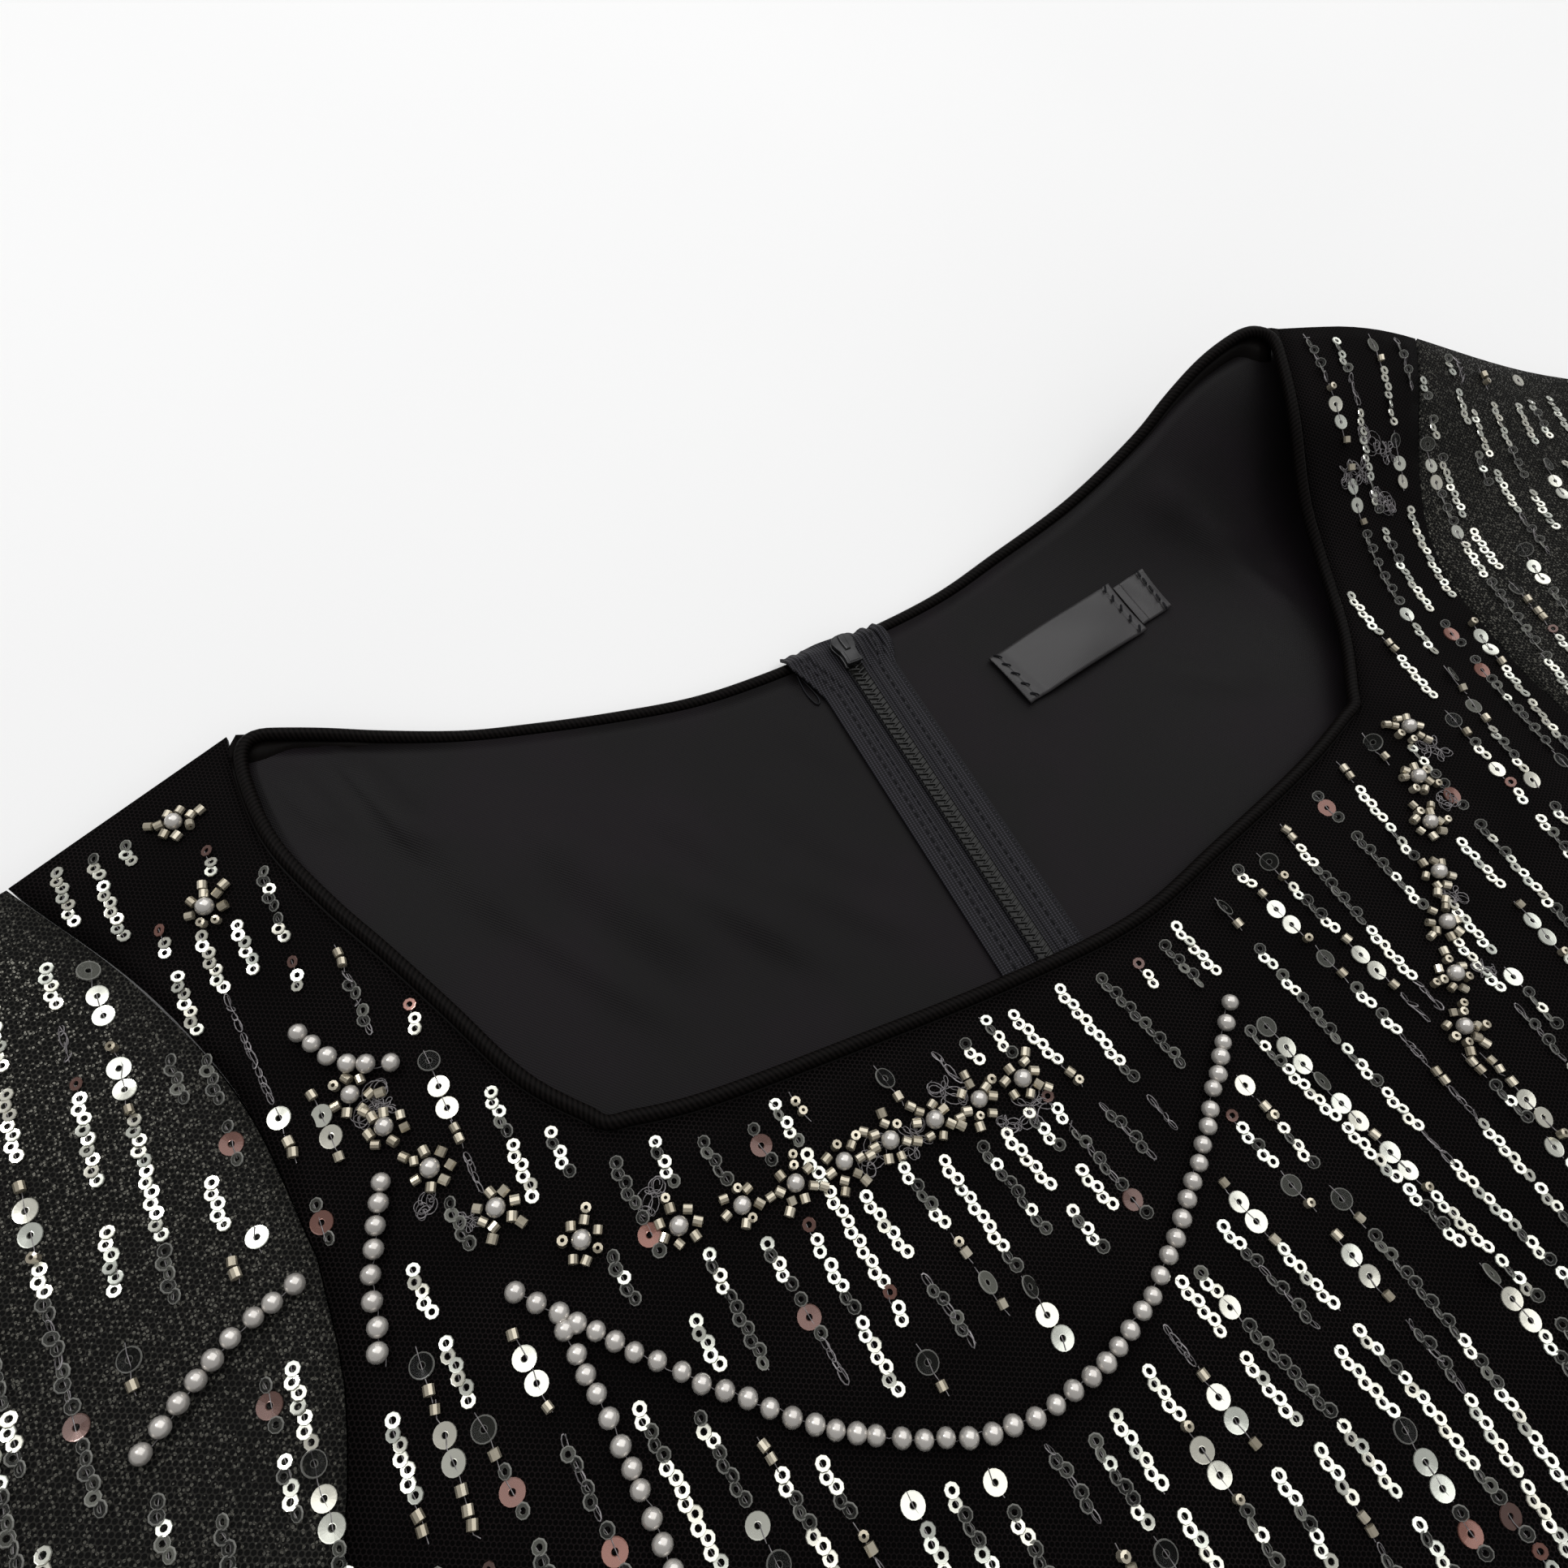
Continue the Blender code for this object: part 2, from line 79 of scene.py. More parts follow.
class Crease(NamedTuple):
    """A short straight crease between two points."""

    x0: float
    y0: float
    x1: float
    y1: float
    half_width: float
    height: float


def ease(value: np.ndarray) -> np.ndarray:
    """Ease from 0 to 1."""
    value = np.clip(value, 0.0, 1.0)
    return value * value * (3.0 - 2.0 * value)


def smooth_line(points: Sequence[Sequence[float]], cells: int) -> np.ndarray:
    """Read a smooth curve through points at equal steps of its length.

    Args:
        points: the points that the curve passes through.
        cells: how many steps it is read in.

    Returns:
        One row for each of the cells + 1 stations.
    """
    control = np.array([tuple(p) for p in points], dtype=float)
    control = np.vstack([2 * control[0] - control[1], control, 2 * control[-1] - control[-2]])
    fine = []
    for i in range(1, len(control) - 2):
        a, b, c, d = control[i - 1:i + 3]
        for t in np.linspace(0, 1, 40, endpoint=False):
            fine.append(0.5 * (2 * b + (c - a) * t + (2 * a - 5 * b + 4 * c - d) * t**2
                               + (3 * b - a - 3 * c + d) * t**3))
    fine = np.vstack([fine, control[-2]])
    run = np.concatenate([[0], np.cumsum(np.linalg.norm(np.diff(fine, axis=0), axis=1))])
    at = np.linspace(0, run[-1], cells + 1)
    return np.column_stack([np.interp(at, run, fine[:, k]) for k in range(fine.shape[1])])


def moved_right(line: np.ndarray, distance: float) -> np.ndarray:
    """Move a plan line sideways, to the right of its own direction."""
    along = np.gradient(line, axis=0)
    along /= np.linalg.norm(along, axis=1)[:, None]
    return line + distance * np.column_stack([along[:, 1], -along[:, 0]])


def filled(top: np.ndarray, bottom: np.ndarray, left: np.ndarray, right: np.ndarray) -> np.ndarray:
    """Fill four edges with rows of points.

    Args:
        top: the first row.
        bottom: the last row.
        left: the first point of each row.
        right: the last point of each row.

    Returns:
        A grid of rows, from the top edge to the bottom one.
    """
    v = np.linspace(0, 1, len(left))[:, None, None]
    u = np.linspace(0, 1, len(top))[None, :, None]
    ruled = (1 - v) * top[None] + v * bottom[None] + (1 - u) * left[:, None] + u * right[:, None]
    corners = ((1 - v) * ((1 - u) * top[0] + u * top[-1]) + v * ((1 - u) * bottom[0] + u * bottom[-1]))
    return ruled - corners


def put_down(points: np.ndarray) -> np.ndarray:
    """Turn millimetres about the neck into metres in the model's frame."""
    return (np.asarray(points, dtype=float) + np.array([0.0, MIDDLE_Y, 0.0])) * MM


@dataclass(frozen=True)
class DressCut:
    """The cut of the dress and the way in which it lies, in millimetres."""

    hem_y: float = -1277.0
    underarm_y: float = -74.0
    lining_end_y: float = -290.0
    zip_end_y: float = -250.0
    centre_back_x: float = -5.0
    front_wall: float = 1.8
    back_wall: float = 1.5
    lining_wall: float = 1.2
    sleeve_wall: float = 1.1
    seam_gap: float = 0.35
    armhole_gap: float = 0.45
    piping_r: float = 1.6
    piping_gap: float = 0.4
    shoulder_lift: float = 32.0
    neck_rest: float = 7.0
    skirt_rest: float = 3.0
    neck_left: tuple = (Point(-147.3, 175.5), Point(-148.8, 161), Point(-147.5, 143), Point(-141.5, 125),
                        Point(-134.5, 109), Point(-127.5, 92), Point(-119, 71), Point(-108, 56))
    neck_front: tuple = (Point(-108, 56), Point(-89, 51.5), Point(-56, 48), Point(-19, 45), Point(17, 44.5),
                         Point(48, 51), Point(83, 59.5), Point(108, 68))
    neck_right: tuple = (Point(108, 68), Point(120.5, 85), Point(127, 98), Point(131, 111), Point(133, 123),
                         Point(136, 136), Point(140.5, 151), Point(147, 169.5))
    back_left: tuple = (Point(-5, 142.3), Point(-27.6, 141.6), Point(-47.1, 142.6), Point(-68.6, 147),
                        Point(-86, 151.6), Point(-100.4, 156), Point(-117.8, 163), Point(-131.1, 169),
                        Point(-147.3, 175.5))
    back_right: tuple = (Point(-5, 142.3), Point(27, 145.5), Point(49, 149.6), Point(75, 154),
                         Point(99, 160.5), Point(112, 165.5), Point(125, 169.5), Point(138.5, 171.2),
                         Point(147, 169.5))
    armhole_top: tuple = (Point(199, 157), Point(181, 125), Point(169, 92), Point(165, 58))
    armhole_bottom: tuple = (Point(165, 58), Point(168, 32), Point(180, 2), Point(203, -26), Point(234, -48),
                             Point(262, -74))
    sleeve_top: tuple = (Point(199, 157), Point(260, 142), Point(320, 114), Point(372, 80))
    sleeve_under: tuple = (Point(262, -74), Point(293, -90), Point(325, -102))
    body: tuple = (Width(-74, 262), Width(-160, 246), Width(-260, 236), Width(-360, 252), Width(-470, 284),
                   Width(-700, 318), Width(-1000, 360), Width(-1277, 400))
    folds: tuple = (Fold(-0.625, -330, -900, 0.125, 6.5), Fold(-0.25, -240, -800, 0.12, 8.5),
                    Fold(0.0625, -420, -950, 0.11, 5.5), Fold(0.375, -260, -820, 0.13, 9.0),
                    Fold(0.75, -380, -900, 0.11, 6.0))
    arm_folds: tuple = (Crease(-150, 62, -205, -150, 22, 4.0), Crease(150, 50, 200, -160, 24, 4.5),
                        Crease(-120, -40, -150, -230, 26, 3.0), Crease(112, -60, 140, -250, 26, 3.2))
    lining_creases: tuple = (Crease(-98, 138, -70, 74, 12, 2.2), Crease(-68, 128, -50, 70, 11, 1.8),
                             Crease(-120, 148, -104, 104, 11, 1.6), Crease(-40, 118, -30, 76, 10, 1.2))
    small_creases: tuple = (Crease(-128, 166, -118, 128, 5, 2.0), Crease(-140, 166, -134, 140, 4, 1.5),
                            Crease(-84, 118, -46, 62, 5, 1.6), Crease(-112, 118, -84, 66, 5, 1.4),
                            Crease(-56, 100, -24, 60, 5, 1.2), Crease(-30, 134, -20, 108, 4, 1.0),
                            Crease(28, 128, 36, 98, 5, 0.9), Crease(92, 152, 124, 118, 7, 1.8),
                            Crease(104, 138, 122, 96, 6, 1.6), Crease(66, 104, 98, 84, 6, 1.3))

    def half_width(self, y: np.ndarray) -> np.ndarray:
        """Half of the flat width of the body at a height y."""
        curve = smooth_line([(row.half, row.y) for row in self.body], 200)
        return np.interp(-np.asarray(y), -curve[:, 1], curve[:, 0])

    def armhole(self, side: int, upper: int, lower: int) -> np.ndarray:
        """The armhole of one side, in upper steps to the neck's corner and lower ones to the underarm."""
        line = np.vstack([smooth_line(self.armhole_top, upper), smooth_line(self.armhole_bottom, lower)[1:]])
        return line * np.array([side, 1.0])

    def neck_line(self, sides: int, middle: int) -> np.ndarray:
        """The front neck edge, from the left shoulder to the right one."""
        return np.vstack([smooth_line(self.neck_left, sides), smooth_line(self.neck_front, middle)[1:],
                          smooth_line(self.neck_right, sides)[1:]])

    def sewn_edges(self) -> np.ndarray:
        """The shoulders, armholes and side seams, every few millimetres."""
        found = []
        for side, neck in ((-1, self.neck_left[0]), (1, self.neck_right[-1])):
            arm = self.armhole(side, 30, 50)
            y = np.linspace(self.underarm_y, self.hem_y, 260)
            found += [np.linspace(neck, arm[0], 16), arm, np.column_stack([side * self.half_width(y), y])]
        return np.vstack(found)

    def edge_distance(self, x: np.ndarray, y: np.ndarray) -> np.ndarray:
        """How far points of the front lie from its sewn edges."""
        edges = self.sewn_edges()
        flat_x, flat_y = np.ravel(x), np.ravel(y)
        found = np.empty(len(flat_x))
        for start in range(0, len(flat_x), 4000):
            part = slice(start, start + 4000)
            gap = ((flat_x[part, None] - edges[None, :, 0]) ** 2
                   + (flat_y[part, None] - edges[None, :, 1]) ** 2)
            found[part] = np.sqrt(gap.min(1))
        return found.reshape(np.shape(x))

    def shoulder_rise(self, x: np.ndarray, y: np.ndarray, foot_y: float) -> np.ndarray:
        """Lift of the right shoulder, which stands up off the surface above foot_y."""
        across = ease((x - 12.0) / 138.0) * (1.0 - ease((x - 165.0) / 130.0))
        return self.shoulder_lift * across * ease((y - foot_y) / (175.0 - foot_y)) ** 1.5

    def back_floor(self, x: np.ndarray, y: np.ndarray) -> np.ndarray:
        """Underside of the outer back."""
        return self.shoulder_rise(x, y, 100.0)

    def front_rise(self, x: np.ndarray, y: np.ndarray) -> np.ndarray:
        """Lift of the front over the raised shoulder."""
        return self.shoulder_rise(x, y, 80.0) * 1.05

    def steepness(self, x: np.ndarray, y: np.ndarray) -> np.ndarray:
        """Height that a wall of unit thickness takes up where the shoulder slopes."""
        across = self.back_floor(x + 0.5, y) - self.back_floor(x - 0.5, y)
        down = self.back_floor(x, y + 0.5) - self.back_floor(x, y - 0.5)
        return np.sqrt(1.0 + across**2 + down**2)

    @staticmethod
    def ridge(x: np.ndarray, y: np.ndarray, crease: Crease) -> np.ndarray:
        """Height of one straight soft crease."""
        run_x, run_y = crease.x1 - crease.x0, crease.y1 - crease.y0
        length = math.hypot(run_x, run_y)
        along = ((x - crease.x0) * run_x + (y - crease.y0) * run_y) / length**2
        aside = np.abs((x - crease.x0) * run_y - (y - crease.y0) * run_x) / length
        profile = np.cos(np.clip(aside / crease.half_width, 0, 1) * math.pi / 2) ** 2
        return crease.height * profile * ease(along / 0.3) * ease((1 - along) / 0.3)

    def lining_floor(self, x: np.ndarray, y: np.ndarray) -> np.ndarray:
        """Underside of the back lining, with its creases."""
        creases = sum(self.ridge(x, y, crease) for crease in self.lining_creases + self.small_creases)
        return self.back_floor(x, y) + (self.back_wall + 0.3) * self.steepness(x, y) + creases

    def lining_top(self, x: np.ndarray, y: np.ndarray) -> np.ndarray:
        """Upper face of the back lining."""
        return self.lining_floor(x, y) + self.lining_wall * self.steepness(x, y)

    def front_folds(self, x: np.ndarray, y: np.ndarray) -> np.ndarray:
        """Height of the folds of the front above its resting place."""
        share = x / np.where(y < self.underarm_y, self.half_width(np.minimum(y, self.underarm_y)), 262.0)
        height = np.zeros_like(share)
        for fold in self.folds:
            aside = np.clip(np.abs(share - fold.across) / fold.half_width, 0, 1)
            opening = ease((fold.start_y - y) / (fold.start_y - fold.full_y))
            height += fold.height * np.cos(aside * math.pi / 2) ** 2 * opening
        for crease in self.arm_folds:
            height += self.ridge(x, y, crease)
        return height

    def front_floor(self, x: np.ndarray, y: np.ndarray) -> np.ndarray:
        """Underside of the front, on the lining at its edges and over the zip in the middle."""
        lining_top = self.back_wall + 0.3 + self.lining_wall
        over_lining = ease((y - (self.lining_end_y - 60.0)) / 50.0)
        edge = self.back_wall + self.seam_gap + over_lining * (lining_top - self.back_wall)
        drop = ease((y - (self.zip_end_y - 110.0)) / 90.0)
        middle = self.skirt_rest + (self.neck_rest - self.skirt_rest) * drop
        distance = self.edge_distance(x, y)
        rest = edge + (middle - edge) * ease(distance / 36.0)
        return (self.front_rise(x, y) + rest * self.steepness(x, y)
                + self.front_folds(x, y) * ease((distance - 8.0) / 30.0))

    def sleeve_top_height(self, x: np.ndarray, y: np.ndarray) -> np.ndarray:
        """Upper face of a sleeve beside its armhole seam."""
        base = self.back_wall + 0.3 + self.lining_wall + self.seam_gap + self.front_wall
        return self.front_rise(x, y) + base * self.steepness(x, y)


CUT = DressCut()
Socket = bpy.types.NodeSocket


class Graph:
    """A short way to write node trees."""

    def __init__(self, tree: bpy.types.NodeTree) -> None:
        """Keep the tree that nodes are added to."""
        self.tree = tree

    def add(self, kind: str, inputs: Optional[dict] = None, **settings: object) -> bpy.types.Node:
        """Add a node.

        Args:
            kind: Blender's name of the node.
            inputs: values or sockets, by the input's name or number.
            settings: the node's own settings.

        Returns:
            The new node.
        """
        node = self.tree.nodes.new(kind)
        for name, value in settings.items():
            setattr(node, name, value)
        for key, value in (inputs or {}).items():
            target = node.inputs[key]
            if isinstance(value, bpy.types.NodeSocket):
                self.tree.links.new(value, target)
            else:
                target.default_value = value
        return node

    def math(self, operation: str, *values: object) -> Socket:
        """Add a math node and return its result."""
        return self.add("ShaderNodeMath", dict(enumerate(values)), operation=operation).outputs[0]

    def mix(self, factor: object, low: object, high: object) -> Socket:
        """Mix two colours and return the result."""
        node = self.add("ShaderNodeMix", {0: factor}, data_type="RGBA")
        for key, value in ((6, low), (7, high)):
            if isinstance(value, bpy.types.NodeSocket):
                self.tree.links.new(value, node.inputs[key])
            else:
                node.inputs[key].default_value = value
        return node.outputs[2]

    def spread(self, value: Socket, low: float, high: float, to_low: float, to_high: float) -> Socket:
        """Turn one range of values into another, clamped."""
        return self.add("ShaderNodeMapRange", {0: value, 1: low, 2: high, 3: to_low, 4: to_high}).outputs[0]


def shader_group(name: str, inputs: dict, outputs: dict) -> tuple:
    """Make an empty shader node group.

    Args:
        name: the group's name.
        inputs: the default value of each named input.
        outputs: the socket type of each named output.

    Returns:
        The group, its graph, its input node and its output node.
    """
    group = bpy.data.node_groups.new(name, "ShaderNodeTree")
    for label, value in inputs.items():
        kind = "NodeSocketFloat" if isinstance(value, float) else "NodeSocketColor"
        group.interface.new_socket(label, in_out="INPUT", socket_type=kind).default_value = value
    for label, kind in outputs.items():
        group.interface.new_socket(label, in_out="OUTPUT", socket_type=kind)
    graph = Graph(group)
    return group, graph, graph.add("NodeGroupInput"), graph.add("NodeGroupOutput")


def bobbinet_group() -> bpy.types.NodeTree:
    """Fine six-sided net: a mask of its threads and its height, on Object coordinates."""
    group, graph, given, out = shader_group("bobbinet", {"Cell": 0.0011}, {"Thread": "NodeSocketFloat"})
    place = graph.add("ShaderNodeSeparateXYZ", {0: graph.add("ShaderNodeTexCoord").outputs["Object"]})
    turns = graph.math("DIVIDE", 2 * math.pi, given.outputs["Cell"])
    total = None
    for angle in (0.0, 120.0, 240.0):
        across = graph.math("MULTIPLY", place.outputs["X"], math.cos(math.radians(angle)))
        down = graph.math("MULTIPLY", place.outputs["Y"], math.sin(math.radians(angle)))
        wave = graph.math("COSINE", graph.math("MULTIPLY", graph.math("ADD", across, down), turns))
        total = wave if total is None else graph.math("ADD", total, wave)
    graph.tree.links.new(graph.spread(total, -0.2, -1.1, 0.0, 1.0), out.inputs["Thread"])
    return group


def twill_group() -> bpy.types.NodeTree:
    """Fine twill: its slanting lines and a slow change of shade, on Object coordinates."""
    group, graph, given, out = shader_group(
        "twill", {"Pitch": 0.0007, "Slant": 0.9},
        {"Line": "NodeSocketFloat", "Shade": "NodeSocketFloat"})
    place = graph.add("ShaderNodeTexCoord").outputs["Object"]
    axes = graph.add("ShaderNodeSeparateXYZ", {0: place})
    slanted = graph.math("ADD", axes.outputs["X"], graph.math("MULTIPLY", axes.outputs["Y"],
                                                              given.outputs["Slant"]))
    turn = graph.math("DIVIDE", 2 * math.pi, given.outputs["Pitch"])
    line = graph.math("SINE", graph.math("MULTIPLY", slanted, turn))
    cross = graph.math("SINE", graph.math("MULTIPLY", axes.outputs["X"], graph.math("MULTIPLY", turn, 1.9)))
    both = graph.math("ADD", graph.math("MULTIPLY", line, 0.5), graph.math("MULTIPLY", cross, 0.25))
    graph.tree.links.new(both, out.inputs["Line"])
    noise = graph.add("ShaderNodeTexNoise", {"Vector": place, "Scale": 26.0, "Detail": 3.0})
    graph.tree.links.new(noise.outputs["Fac"], out.inputs["Shade"])
    return group


class Groups:
    """The shared node groups, each made once."""

    made: dict = {}

    @classmethod
    def get(cls, maker: Callable[[], bpy.types.NodeTree]) -> bpy.types.NodeTree:
        """Return the group that maker makes."""
        if maker not in cls.made:
            cls.made[maker] = maker()
        return cls.made[maker]


class Finish:
    """A finish that turns into a material once."""

    made: dict = {}

    def material(self) -> bpy.types.Material:
        """Make the material, or return it if it is made."""
        if self not in self.made:
            material = bpy.data.materials.new(self.name)
            material.use_nodes = True
            tree = material.node_tree
            self.dress(Graph(tree), tree.nodes["Principled BSDF"])
            self.made[self] = material
        return self.made[self]

    def group(self, graph: Graph, maker: Callable[[], bpy.types.NodeTree], **values: float) -> bpy.types.Node:
        """Place a shared group in the material with its own values."""
        node = graph.add("ShaderNodeGroup", node_tree=Groups.get(maker))
        for label, value in values.items():
            node.inputs[label].default_value = value
        return node

    @staticmethod
    def bump(graph: Graph, surface: bpy.types.Node, height: Socket, strength: float, distance: float) -> None:
        """Raise the surface by a height."""
        node = graph.add("ShaderNodeBump", {"Height": height, "Strength": strength, "Distance": distance})
        graph.tree.links.new(node.outputs[0], surface.inputs["Normal"])


@dataclass(frozen=True)
class NetFinish(Finish):
    """Fine net, close over black cloth or by itself."""

    name: str = "black_net"
    thread: tuple = (0.0100, 0.0078, 0.0080, 1.0)
    ground: tuple = (0.0006, 0.0005, 0.0005, 1.0)
    cell: float = 0.00085
    see_through: float = 1.0
    glitter: float = 0.0

    def dress(self, graph: Graph, surface: bpy.types.Node) -> None:
        """Wire the net's threads, ground and glitter."""
        net = self.group(graph, bobbinet_group, Cell=self.cell).outputs["Thread"]
        place = graph.add("ShaderNodeTexCoord").outputs["Object"]
        slow = graph.add("ShaderNodeTexNoise", {"Vector": place, "Scale": 45.0, "Detail": 2.0}).outputs["Fac"]
        strength = graph.math("MULTIPLY", net, graph.spread(slow, 0.3, 0.7, 0.55, 1.0))
        colour = graph.mix(strength, self.ground, self.thread)
        if self.glitter:
            dots = graph.add("ShaderNodeTexVoronoi", {"Vector": place, "Scale": 1500.0})
            chosen = graph.math("GREATER_THAN", graph.add(
                "ShaderNodeSeparateColor", {0: dots.outputs["Color"]}).outputs[0], 1.0 - self.glitter)
            near = graph.math("LESS_THAN", dots.outputs["Distance"], 0.42)
            spark = graph.math("MULTIPLY", chosen, near)
            colour = graph.mix(spark, colour, (0.075, 0.073, 0.063, 1.0))
            graph.tree.links.new(graph.math("MULTIPLY", spark, 0.6), surface.inputs["Metallic"])
            graph.tree.links.new(graph.spread(spark, 0, 1, 0.6, 0.34), surface.inputs["Roughness"])
            clear = graph.spread(net, 0.1, 0.8, self.see_through, 1.0)
            graph.tree.links.new(graph.math("MAXIMUM", clear, spark), surface.inputs["Alpha"])
        else:
            surface.inputs["Roughness"].default_value = 0.62
        graph.tree.links.new(colour, surface.inputs["Base Color"])
        surface.inputs["Specular IOR Level"].default_value = 0.025
        surface.inputs["Sheen Weight"].default_value = 0.003
        surface.inputs["Sheen Roughness"].default_value = 0.4
        self.bump(graph, surface, net, 0.6, 0.0002)


@dataclass(frozen=True)
class TwillFinish(Finish):
    """Soft black twill."""

    name: str = "black_twill"
    colour: tuple = (0.0058, 0.0048, 0.0056, 1.0)
    line: tuple = (0.0142, 0.0108, 0.0134, 1.0)
    other_line: tuple = (0.0098, 0.0104, 0.0090, 1.0)
    pitch: float = 0.0007
    rough: float = 0.42
    gloss: float = 0.075

    def dress(self, graph: Graph, surface: bpy.types.Node) -> None:
        """Wire the twill lines and the slow change of shade."""
        twill = self.group(graph, twill_group, Pitch=self.pitch)
        line = graph.spread(twill.outputs["Line"], -0.6, 0.6, 0.0, 1.0)
        shade = graph.spread(twill.outputs["Shade"], 0.3, 0.7, 0.25, 0.75)
        bright = graph.mix(graph.spread(twill.outputs["Shade"], 0.42, 0.58, 0.0, 1.0),
                           self.other_line, self.line)
        graph.tree.links.new(graph.mix(graph.math("MULTIPLY", line, shade), self.colour, bright),
                             surface.inputs["Base Color"])
        graph.tree.links.new(graph.spread(twill.outputs["Shade"], 0.3, 0.7, self.rough - 0.05,
                                          self.rough + 0.05), surface.inputs["Roughness"])
        surface.inputs["Specular IOR Level"].default_value = self.gloss
        surface.inputs["Sheen Weight"].default_value = 0.006
        surface.inputs["Sheen Roughness"].default_value = 0.35
        self.bump(graph, surface, line, 0.35, 0.0001)


@dataclass(frozen=True)
class CordFinish(Finish):
    """Satin strip sewn round a cord, with its lines running along and slightly round it."""

    name: str = "black_piping"
    colour: tuple = (0.0015, 0.0012, 0.0011, 1.0)
    line: tuple = (0.0062, 0.0050, 0.0047, 1.0)

    def dress(self, graph: Graph, surface: bpy.types.Node) -> None:
        """Wire the fine lines from the cord's own UV map."""
        uv = graph.add("ShaderNodeSeparateXYZ", {0: graph.add("ShaderNodeUVMap", uv_map="length").outputs[0]})
        slant = graph.math("ADD", graph.math("MULTIPLY", uv.outputs["X"], 5200.0),
                           graph.math("MULTIPLY", uv.outputs["Y"], 2 * math.pi * 4))
        rib = graph.spread(graph.math("SINE", slant), -0.8, 0.8, 0.0, 1.0)
        graph.tree.links.new(graph.mix(rib, self.colour, self.line), surface.inputs["Base Color"])
        surface.inputs["Roughness"].default_value = 0.42
        surface.inputs["Specular IOR Level"].default_value = 0.035
        self.bump(graph, surface, rib, 0.3, 0.00008)


@dataclass(frozen=True)
class TapeFinish(Finish):
    """Blue-black woven tape, ribbed along its length."""

    name: str = "zip_tape_weave"
    colour: tuple = (0.0025, 0.0024, 0.0032, 1.0)
    rib: tuple = (0.050, 0.048, 0.057, 1.0)

    def dress(self, graph: Graph, surface: bpy.types.Node) -> None:
        """Wire ribs along the tape and fine rows across it."""
        place = graph.add("ShaderNodeSeparateXYZ", {0: graph.add("ShaderNodeTexCoord").outputs["Object"]})
        along = graph.math("SINE", graph.math("MULTIPLY", place.outputs["X"], 2 * math.pi / 0.00085))
        rows = graph.math("SINE", graph.math("MULTIPLY", place.outputs["Y"], 2 * math.pi / 0.0006))
        knit = graph.math("ADD", graph.math("MULTIPLY", along, 0.6), graph.math("MULTIPLY", rows, 0.4))
        height = graph.spread(knit, -0.5, 1.0, 0.0, 1.0)
        graph.tree.links.new(graph.mix(height, self.colour, self.rib), surface.inputs["Base Color"])
        surface.inputs["Roughness"].default_value = 0.6
        surface.inputs["Specular IOR Level"].default_value = 0.18
        self.bump(graph, surface, height, 0.9, 0.0003)


@dataclass(frozen=True)
class PlainFinish(Finish):
    """A plain glossy or matt finish with a fine grain and its own tint from piece to piece; on clear sequins
    the lighter tint is partly painted glare.
    """

    name: str
    colour: tuple
    other: tuple
    rough: float = 0.3
    metallic: float = 0.0
    coat: float = 0.0
    grain: float = 900.0
    depth: float = 0.00002
    tinted: bool = True
    see_through: float = 1.0
    gloss: float = 0.5
    rim: float = 0.0
    glow: float = 0.0
    skew: float = 1.0

    def dress(self, graph: Graph, surface: bpy.types.Node) -> None:
        """Wire the two shades, the grain, the shine and, on clear sequins, the more opaque rim, which is
        painted lighter as a highlight.
        """
        place = graph.add("ShaderNodeTexCoord").outputs["Object"]
        noise = graph.add("ShaderNodeTexNoise", {"Vector": place, "Scale": self.grain}).outputs["Fac"]
        tint = (graph.add("ShaderNodeAttribute", attribute_name="tint").outputs["Fac"] if self.tinted
                else graph.spread(noise, 0.35, 0.65, 0.0, 1.0))
        # On clear sequins the skew keeps most of them dark and a few light grey; the light grey ones are
        # partly painted glare, a painted reflection.
        if self.skew != 1.0:
            tint = graph.math("POWER", tint, self.skew)
        colour = graph.mix(tint, self.colour, self.other)
        if self.rim:
            edge = graph.add("ShaderNodeAttribute", attribute_name="rim").outputs["Fac"]
            # Painted highlight: the rim is mixed towards light grey to stand in for light caught by the clear
            # edge; the alpha below also makes the rim less see-through.
            colour = graph.mix(graph.math("MULTIPLY", edge, 0.6), colour, (0.40, 0.40, 0.37, 1.0))
            graph.tree.links.new(graph.spread(edge, 0.0, 1.0, self.see_through, self.rim),
                                 surface.inputs["Alpha"])
        graph.tree.links.new(colour, surface.inputs["Base Color"])
        if self.glow:
            surface.inputs["Emission Color"].default_value = (1.0, 1.0, 1.0, 1.0)
            surface.inputs["Emission Strength"].default_value = self.glow
        graph.tree.links.new(graph.spread(noise, 0.3, 0.7, self.rough * 0.8, self.rough * 1.2),
                             surface.inputs["Roughness"])
        surface.inputs["Metallic"].default_value = self.metallic
        surface.inputs["Coat Weight"].default_value = self.coat
        if not self.rim:
            surface.inputs["Alpha"].default_value = self.see_through
        surface.inputs["Specular IOR Level"].default_value = self.gloss
        self.bump(graph, surface, noise, 0.2, self.depth)


NET = NetFinish()
SHEER = NetFinish("sheer_glitter_net", (0.030, 0.029, 0.026, 1.0), (0.006, 0.006, 0.0058, 1.0),
                  0.00095, 0.90, 0.42)
TWILL = TwillFinish()
PIPING = CordFinish()
TAPE = TapeFinish()
COIL = PlainFinish("zip_coil_nylon", (0.0045, 0.0045, 0.0040, 1), (0.0105, 0.0105, 0.0093, 1), 0.34,
                   tinted=False, gloss=0.28)
GUNMETAL = PlainFinish("gunmetal", (0.022, 0.022, 0.023, 1), (0.045, 0.045, 0.046, 1), 0.30, 0.75,
                       grain=240.0, tinted=False)
LABEL = TwillFinish("label_satin", (0.010, 0.0085, 0.0095, 1), (0.026, 0.022, 0.024, 1),
                    (0.022, 0.0205, 0.021, 1), 0.0004, 0.33, 0.55)
STITCH = PlainFinish("stitch_thread", (0.003, 0.003, 0.004, 1), (0.010, 0.010, 0.013, 1), 0.5,
                     tinted=False, gloss=0.2)
